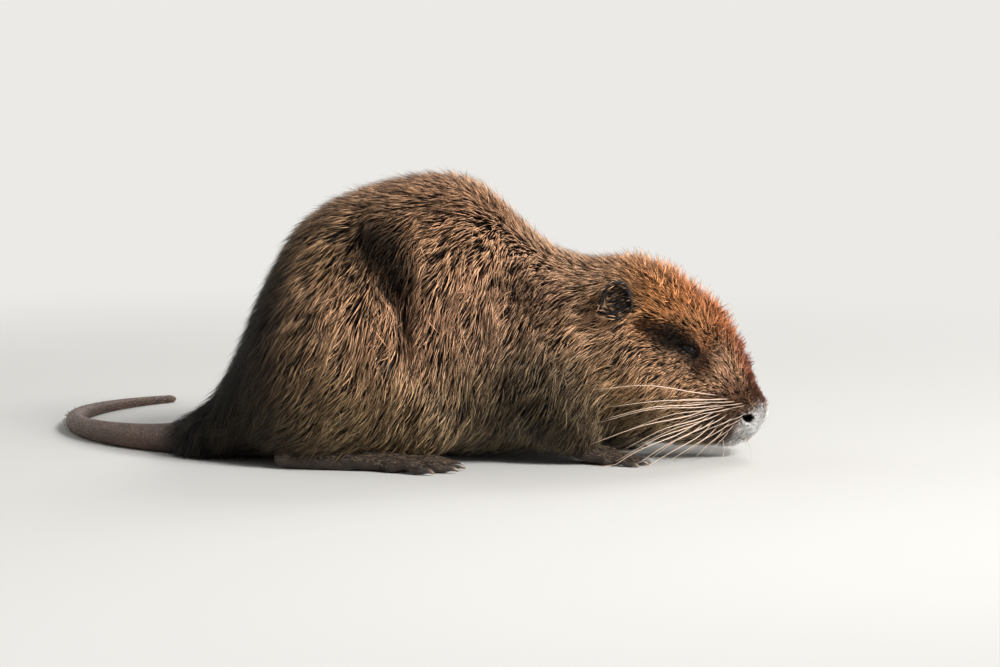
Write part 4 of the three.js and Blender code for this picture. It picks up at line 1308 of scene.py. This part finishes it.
def tail_scales():
    """A rodent's scaly tail: small plates in rings, pinkish brown and darker in the gaps between them."""
    made, tree = new_material("tail_scales")
    parts = add(tree, "SeparateXYZ", {0: stored(tree, "tail_place")})
    turned = add(tree, "CombineXYZ", {0: parts.outputs["Y"], 1: parts.outputs["X"]})
    plates = add(tree, "TexBrick", {
        "Vector": turned.outputs[0],
        "Color1": rgba("#6d5245"),
        "Color2": rgba("#5b4439"),
        "Mortar": rgba("#2a201b"),
        "Scale": 1.0,
        "Mortar Size": 0.22,
        "Mortar Smooth": 0.6,
        "Brick Width": 2.1,
        "Row Height": TAIL_RING,
    })
    blotches = noise(tree, add(tree, "TexCoord").outputs["Object"], 1 / (14 * MM), 4.0)
    toned = scaled(tree, plates.outputs["Color"], ramp(tree, blotches, 0.3, 0.7, 0.62, 1.15))
    height = add(tree, "Math", {0: 1.0, 1: plates.outputs["Fac"]}, operation="SUBTRACT")
    return finished(made, "BsdfPrincipled", {
        "Base Color": toned,
        "Roughness": 0.55,
        "IOR": 1.5,
        "Normal": raised(tree, height.outputs[0], 0.9, 0.25 * MM),
    })


def whisker_horn():
    """A whisker: smooth, stiff keratin, pale buff and a little translucent, brown at the root."""
    made, tree = new_material("whisker_horn")
    along = add(tree, "SeparateXYZ", {0: stored(tree, "strand")}).outputs["Y"]
    pale = ramp(tree, along, 0.0, 0.25)
    return finished(made, "BsdfPrincipled", {
        "Base Color": blend(tree, pale, rgba("#7d6353"), rgba("#d2b8a2")),
        "Roughness": 0.32,
        "IOR": 1.55,
        "Subsurface Weight": 0.1,
        "Subsurface Scale": 1 * MM,
    })


def wet_eye():
    """A live eye: near-black brown under a clear wet cornea, which gives one sharp highlight."""
    made, tree = new_material("wet_eye")
    place = stored(tree, "eye_place")
    off = add(tree, "VectorMath", {0: place}, operation="LENGTH").outputs["Value"]
    fibres = noise(tree, place, 1.2, 4.0)
    edge = add(tree, "Math", {0: fibres, 1: 0.8, 2: off}, operation="MULTIPLY_ADD").outputs[0]
    iris = ramp(tree, edge, 2.6, 4.6, smooth=True)
    return finished(made, "BsdfPrincipled", {
        "Base Color": blend(tree, iris, rgba("#050304"), rgba("#24140c")),
        "Roughness": 0.05,
        "IOR": 1.376,  # cornea
        "Specular IOR Level": 0.35,
    })


def claw_horn():
    """Claw horn: dark brown keratin with growth lines along it, worn paler at the point."""
    made, tree = new_material("claw_horn")
    strand = stored(tree, "strand")
    along = add(tree, "SeparateXYZ", {0: strand}).outputs["Y"]
    lines = noise(tree, stretched(tree, strand, (14.0, 1.2, 1.0)), 1.0, 3.0)
    worn = ramp(tree, along, 0.45, 1.0, smooth=True)
    tone = blend(tree, worn, rgba("#2a211b"), rgba("#7d6a55"))
    return finished(made, "BsdfPrincipled", {
        "Base Color": scaled(tree, tone, ramp(tree, lines, 0.3, 0.7, 0.75, 1.2)),
        "Roughness": 0.34,
        "IOR": 1.55,
        "Normal": raised(tree, lines, 0.4, 0.1 * MM),
    })


GUARD_HAIR = guard_hair()
WHISKER_HORN = whisker_horn()
WET_EYE = wet_eye()
CLAW_HORN = claw_horn()
SKIN_MATERIALS = [  # in the order of the slots
    underfur_skin(),
    bare_hide("ear_hide", "#060505", "#120e0d", "#241a15"),
    bare_hide("foot_hide", "#211b18", "#3b322c", "#473b33"),
    tail_scales(),
]


# ---- Whiskers and bristles ------------------------------------------------------------------


def bristles(name, lines, radii, around=6):
    """Round, tapering hairs along lines, as one object."""
    tubes = [tube(line, radius * np.linspace(1, 0.12, len(line)) ** 0.7, around)
             for line, radius in zip(lines, radii)]
    made = joined(name, tubes)
    along = np.concatenate([np.repeat(np.linspace(0, 1, len(line)), around) for line in lines])
    lot = np.concatenate([np.full(len(line) * around, i / len(lines)) for i, line in enumerate(lines)])
    across = np.tile(np.arange(around) / around, len(along) // around)
    store(made.data, "strand", np.stack([across, along, lot], 1), "FLOAT_VECTOR")
    made.data.materials.append(WHISKER_HORN)
    return made


def whisker_lines(tree, side, rng):
    """Rows of whiskers on the pad: they sweep back and down, the hind ones longest."""
    lines, radii = [], []
    for row in range(5):
        for column in range(6):
            along = 11 + column * 4.4 + rng.uniform(-0.8, 0.8) + row * 0.8
            up = 1.5 - row * 5.2 + rng.uniform(-0.8, 0.8) - column * 0.8
            place, normal = on_side(tree, along, up, side)
            if place is None or rng.random() < 0.12:
                continue
            length = (30 + column * 13) * rng.uniform(0.85, 1.15) * (1 - 0.05 * row)
            down = math.radians([-8, -1, 6, 13, 22][row] + rng.uniform(-4, 4) + (5 - column) * 3)
            out = 0.5 - 0.05 * column + rng.uniform(-0.08, 0.08)
            sweep = unit(np.array([-math.cos(down), out * side, -math.sin(down)]))
            first = unit(normal * 0.45 + sweep)
            ends = [place - first * 1.5 * MM, place + first * length * 0.25 * MM]
            ends.append(ends[-1] + unit(first * 0.2 + sweep) * length * 0.36 * MM)
            bend = np.array([0, -0.08 * side, -0.08]) * rng.uniform(0.2, 1.6) * length
            ends.append(ends[-1] + (sweep * length * 0.4 + bend) * MM)
            line = smooth_line(ends, 12)
            line[:, 2] = np.maximum(line[:, 2], 0.7 * MM)
            lines.append(line)
            radii.append((0.2 + 0.055 * column) * MM)
    return lines, radii


def face_bristles(tree, side, rng):
    """A few finer bristles that point forward and down from the lip and the nose."""
    lines, radii = [], []
    spots = [  # back from the nose and up, length, direction
        ((7, 3), 26, (0.45, 0.9, 0.35)),
        ((10, 0), 30, (0.2, 0.9, 0.25)),
        ((5, -17), 22, (0.35, 0.7, -0.5)),
        ((12, -24), 20, (0.1, 0.6, -0.8)),
        ((16, -26), 24, (-0.1, 0.6, -0.8)),
    ]
    for (along, up), length, way in spots:
        place, normal = on_side(tree, along, up, side)
        if place is None:
            continue
        way = unit(np.array(way) * np.array([1, side, 1]) + rng.normal(0, 0.08, 3))
        middle = place + unit(normal + way) * length * 0.45 * MM
        tip = middle + unit(way + np.array([-0.25, 0, -0.15])) * length * 0.55 * MM
        lines.append(smooth_line([place - normal * MM, middle, tip], 10))
        lines[-1][:, 2] = np.maximum(lines[-1][:, 2], 0.7 * MM)
        radii.append(0.2 * MM)
    return lines, radii


# ---- Hairs on tail and feet -----------------------------------------------------------------


def tail_bristles():
    """Sparse stiff hairs that grow from behind the scales and lie back along the tail."""
    rng = np.random.default_rng(21)
    line, along, radius = tail_line(1200)
    rings = np.arange(10, TAIL_LENGTH - 3, TAIL_RING)
    count = 11
    ring = np.repeat(rings, count) + rng.uniform(-0.5, 0.5, len(rings) * count)
    angle = np.tile(np.arange(count) * 2 * math.pi / count, len(rings))
    angle = angle + rng.uniform(-0.3, 0.3, len(ring))
    keep = np.sin(angle) > -0.55
    ring, angle = ring[keep], angle[keep]
    i = np.clip(np.searchsorted(along, ring), 0, len(line) - 1)
    forward = unit(np.gradient(line, axis=0))[i]
    side = unit(np.cross(forward, UP))
    out = side * np.cos(angle)[:, None] + np.cross(side, forward) * np.sin(angle)[:, None]
    roots = line[i] + out * radius[i, None]
    length = rng.uniform(3.2, 6.0, len(ring)) * MM
    t = SHORT_STATIONS[None, :, None]
    lift = rng.uniform(0.12, 0.4, (len(ring), 1))
    lean = unit(forward + out * lift + rng.normal(0, 0.09, (len(ring), 3)))
    paths = roots[:, None] + lean[:, None] * t * length[:, None, None] - out[:, None] * 0.2 * MM
    ups = np.repeat(out[:, None], 3, 1)
    under = np.tile(colour("#33271f"), (len(ring), 1))
    tip = np.tile(colour("#9a8468"), (len(ring), 1))
    width = np.full(len(ring), 0.28 * MM)
    return lock_mesh("bristles_tail", paths, ups, width, under, tip, rng.random(len(ring)), roots, out)


def foot_hairs(skin, tree):
    """Short sparse hairs on the upper side of the feet, pointing to the toes."""
    rng = np.random.default_rng(31)
    mesh = skin.data
    triangles, faces = triangles_of(mesh)
    topside = step(normals_of(mesh)[triangles].mean(1)[:, 2], -0.3, 0.4)
    count = FOOT_HAIRS
    roots, out = scatter(mesh, (slots_of(mesh)[faces] == FOOT_SKIN) * topside, count, rng)
    length = rng.uniform(2.8, 5.4, count) * MM
    swing = np.radians(rng.normal(0, 14, count))
    rise = rng.uniform(0.3, 0.9, count) * MM
    paths, ups = walk(
        tree, roots, out, lambda p: np.tile([1.0, 0, -0.1], (len(p), 1)),
        length, rise, np.full(count, 0.1), swing, SHORT_STATIONS,
    )
    width = np.full(count, 0.3 * MM)
    under = np.tile(colour("#241d18"), (count, 1))
    tip = np.tile(colour("#8a7660"), (count, 1))
    return lock_mesh("coat_feet", paths, ups, width, under, tip, rng.random(count), roots, out)


# ---- Eyes and claws -------------------------------------------------------------------------


def eye_globe(name, side):
    """The eyeball, a little fuller at the cornea."""
    turned = eye_facing(side)
    rows, around = 40, 64
    fall = np.linspace(0.02, math.pi - 0.02, rows)
    angle = np.arange(around) * 2 * math.pi / around
    bulge = 1 + 0.05 * np.exp(-((fall / 0.6) ** 2)) - 0.02
    u = (np.sin(fall) * bulge)[:, None] * np.cos(angle)
    v = (np.sin(fall) * bulge)[:, None] * np.sin(angle)
    w = (np.cos(fall) * bulge)[:, None] * np.ones(around)
    local = np.stack([u, v, w], -1).reshape(-1, 3) * EYE_RADIUS
    quads, caps = ring_faces(rows, around)
    if np.linalg.det(turned) < 0:
        quads = quads[:, ::-1]
    made = mesh_object(f"globe_{name}", EYES[side] + local @ turned, quads, caps)
    flat = local / MM
    flat[:, 2] = np.where(flat[:, 2] > 0, 0, 9)
    store(made.data, "eye_place", flat, "FLOAT_VECTOR")
    made.data.materials.append(WET_EYE)
    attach(made, "root")
    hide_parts(f"eye_{name}")


def claw_piece(foot, name, side, number, digit):
    """One claw: a curved, tapering horn, flatter below, that grows out of the end of its toe."""
    root, tip, r = digit
    aim = unit(np.array([tip[0] - root[0], tip[1] - root[1], 0.0]))
    size = foot.claw
    t = np.linspace(-0.3, 1, 16)
    reach = 7.3 * size * t
    line = np.array([tip[0], tip[1], 0])[None] + aim[None] * reach[:, None]
    line[:, 2] = r - 0.3 + size * (0.7 * np.maximum(t, 0) - 2.6 * np.maximum(t, 0) ** 2)
    radii = 2.0 * size * np.sqrt(np.clip(1 - t, 0.0, 1)) ** 1.3 + 0.22
    points, quads, caps = tube(line, radii, 14, 1.15)
    points[:, 2] = np.maximum(points[:, 2], 0.25)
    made = joined(f"claw_{foot.name}_{name}_{number}", [(foot_to_world(foot, side, points), quads, caps)])
    if side < 0:
        made.data.flip_normals()
    along = np.repeat(np.linspace(0, 1, len(t)), 14)
    across = np.tile(np.arange(14) / 14, len(t))
    store(made.data, "strand", np.stack([across, along, np.full(len(along), number)], 1), "FLOAT_VECTOR")
    made.data.materials.append(CLAW_HORN)
    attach(made, "root")
    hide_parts(f"{foot.name}_claw_{name}_{number}")


# ---- Putting it together --------------------------------------------------------------------


def dress():
    """The skin, its coat and everything that grows out of it."""
    skin, bare = whole_skin()
    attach(skin, "root")
    flesh = [*FURRED, *(f"tail_{part}" for part in ("base", "middle", "end"))]
    flesh += [f"{part}_{side}" for part in ("ear", "hind_foot", "fore_foot") for side in SIDES]
    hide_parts(*flesh)
    tree = tree_of(skin.data)
    pieces = main_coat(skin, bare, tree)
    pieces += [tail_bristles(), foot_hairs(skin, tree)]
    for piece in pieces:
        piece.data.materials.append(GUARD_HAIR)
        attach(piece, "root")
    for name, side in SIDES.items():
        rng = np.random.default_rng(5 + side)
        lines, radii = whisker_lines(tree, side, rng)
        more_lines, more_radii = face_bristles(tree, side, rng)
        whiskers = bristles(f"whiskers_{name}", lines + more_lines, radii + more_radii)
        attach(whiskers, "root")
        eye_globe(name, side)
        for foot in (HIND_FOOT, FORE_FOOT):
            for number, digit in enumerate(foot.digits, 1):
                claw_piece(foot, name, side, number, digit)


# ---- Floor, light and camera ----------------------------------------------------------------

BACKGROUND = "#eceae6"


def floor():
    """A pale, matt floor that keeps the shadow and fades into the background far off."""
    corners = np.array([[-9, -9, 0], [9, -9, 0], [9, 9, 0], [-9, 9, 0]], float)
    made = mesh_object("floor", corners, np.array([[0, 1, 2, 3]]))
    material, tree = new_material("floor_paper")
    place = add(tree, "TexCoord").outputs["Object"]
    away = add(tree, "VectorMath", {0: place}, operation="LENGTH").outputs["Value"]
    far = ramp(tree, away, 0.4, 1.1, smooth=True)
    seen = add(tree, "LightPath").outputs["Is Camera Ray"]
    share = add(tree, "Math", {0: far, 1: seen}, operation="MULTIPLY").outputs[0]
    paper = add(tree, "BsdfDiffuse", {"Color": rgba("#cac8c4")}).outputs[0]
    glow = add(tree, "Emission", {"Color": rgba(BACKGROUND)}).outputs[0]
    made.data.materials.append(finished(material, "MixShader", {0: share, 1: paper, 2: glow}))


def studio():
    """Soft light from all round and four lamps. Where the camera, a mirror-like surface or
    something clear looks at the world, it is the plain background."""
    world = bpy.data.worlds.new("studio")
    bpy.context.scene.world = world
    world.use_nodes = True
    tree = world.node_tree
    tree.nodes.clear()
    path = add(tree, "LightPath").outputs
    seen = path["Is Camera Ray"]
    for kind in ("Is Transmission Ray", "Is Glossy Ray"):
        seen = add(tree, "Math", {0: seen, 1: path[kind]}, operation="MAXIMUM").outputs[0]
    sky = add(tree, "Background", {"Color": rgba("#ffffff"), "Strength": 0.28}).outputs[0]
    backdrop = add(tree, "Background", {"Color": rgba(BACKGROUND), "Strength": 1.0}).outputs[0]
    mixed = add(tree, "MixShader", {0: seen, 1: sky, 2: backdrop})
    tree.links.new(mixed.outputs[0], add(tree, "OutputWorld").inputs[0])
    target = Vector(in_body(40, 0, 80))
    lamps = [  # direction from the model, distance, size, power
        ((0.76, -0.84, 0.78), 3.0, 0.8, 120),  # the sun, high in front on the right
        ((1.0, -0.6, 0.12), 2.2, 1.2, 25),  # low in front of the face
        ((-1.0, 0.3, 0.7), 2.2, 1.4, 8),  # behind the rump
        ((0.6, 1.0, 0.9), 3.0, 1.2, 38),  # over the far side, for the edge of the back
    ]
    for number, (way, distance, size, power) in enumerate(lamps, 1):
        light = bpy.data.lights.new(f"lamp_{number}", "AREA")
        light.size = size
        light.energy = power
        lamp = bpy.data.objects.new(f"lamp_{number}", light)
        lamp.location = target + Vector(way).normalized() * distance
        lamp.rotation_euler = (target - lamp.location).to_track_quat("-Z", "Y").to_euler()
        bpy.context.scene.collection.objects.link(lamp)


def camera():
    """A long lens low at the animal's right, square to its side."""
    lens = bpy.data.cameras.new("camera")
    lens.lens = 150
    lens.sensor_width = 36
    made = bpy.data.objects.new("camera", lens)
    target = Vector(in_body(46.9, 0, 82.7))
    lift, distance = math.radians(6.5), 2.79
    made.location = target + Vector((0, -math.cos(lift), math.sin(lift))) * distance
    made.rotation_euler = (target - made.location).to_track_quat("-Z", "Y").to_euler()
    bpy.context.scene.collection.objects.link(made)
    bpy.context.scene.camera = made
    bpy.context.scene.view_settings.view_transform = "Standard"


dress()
floor()
studio()
camera()
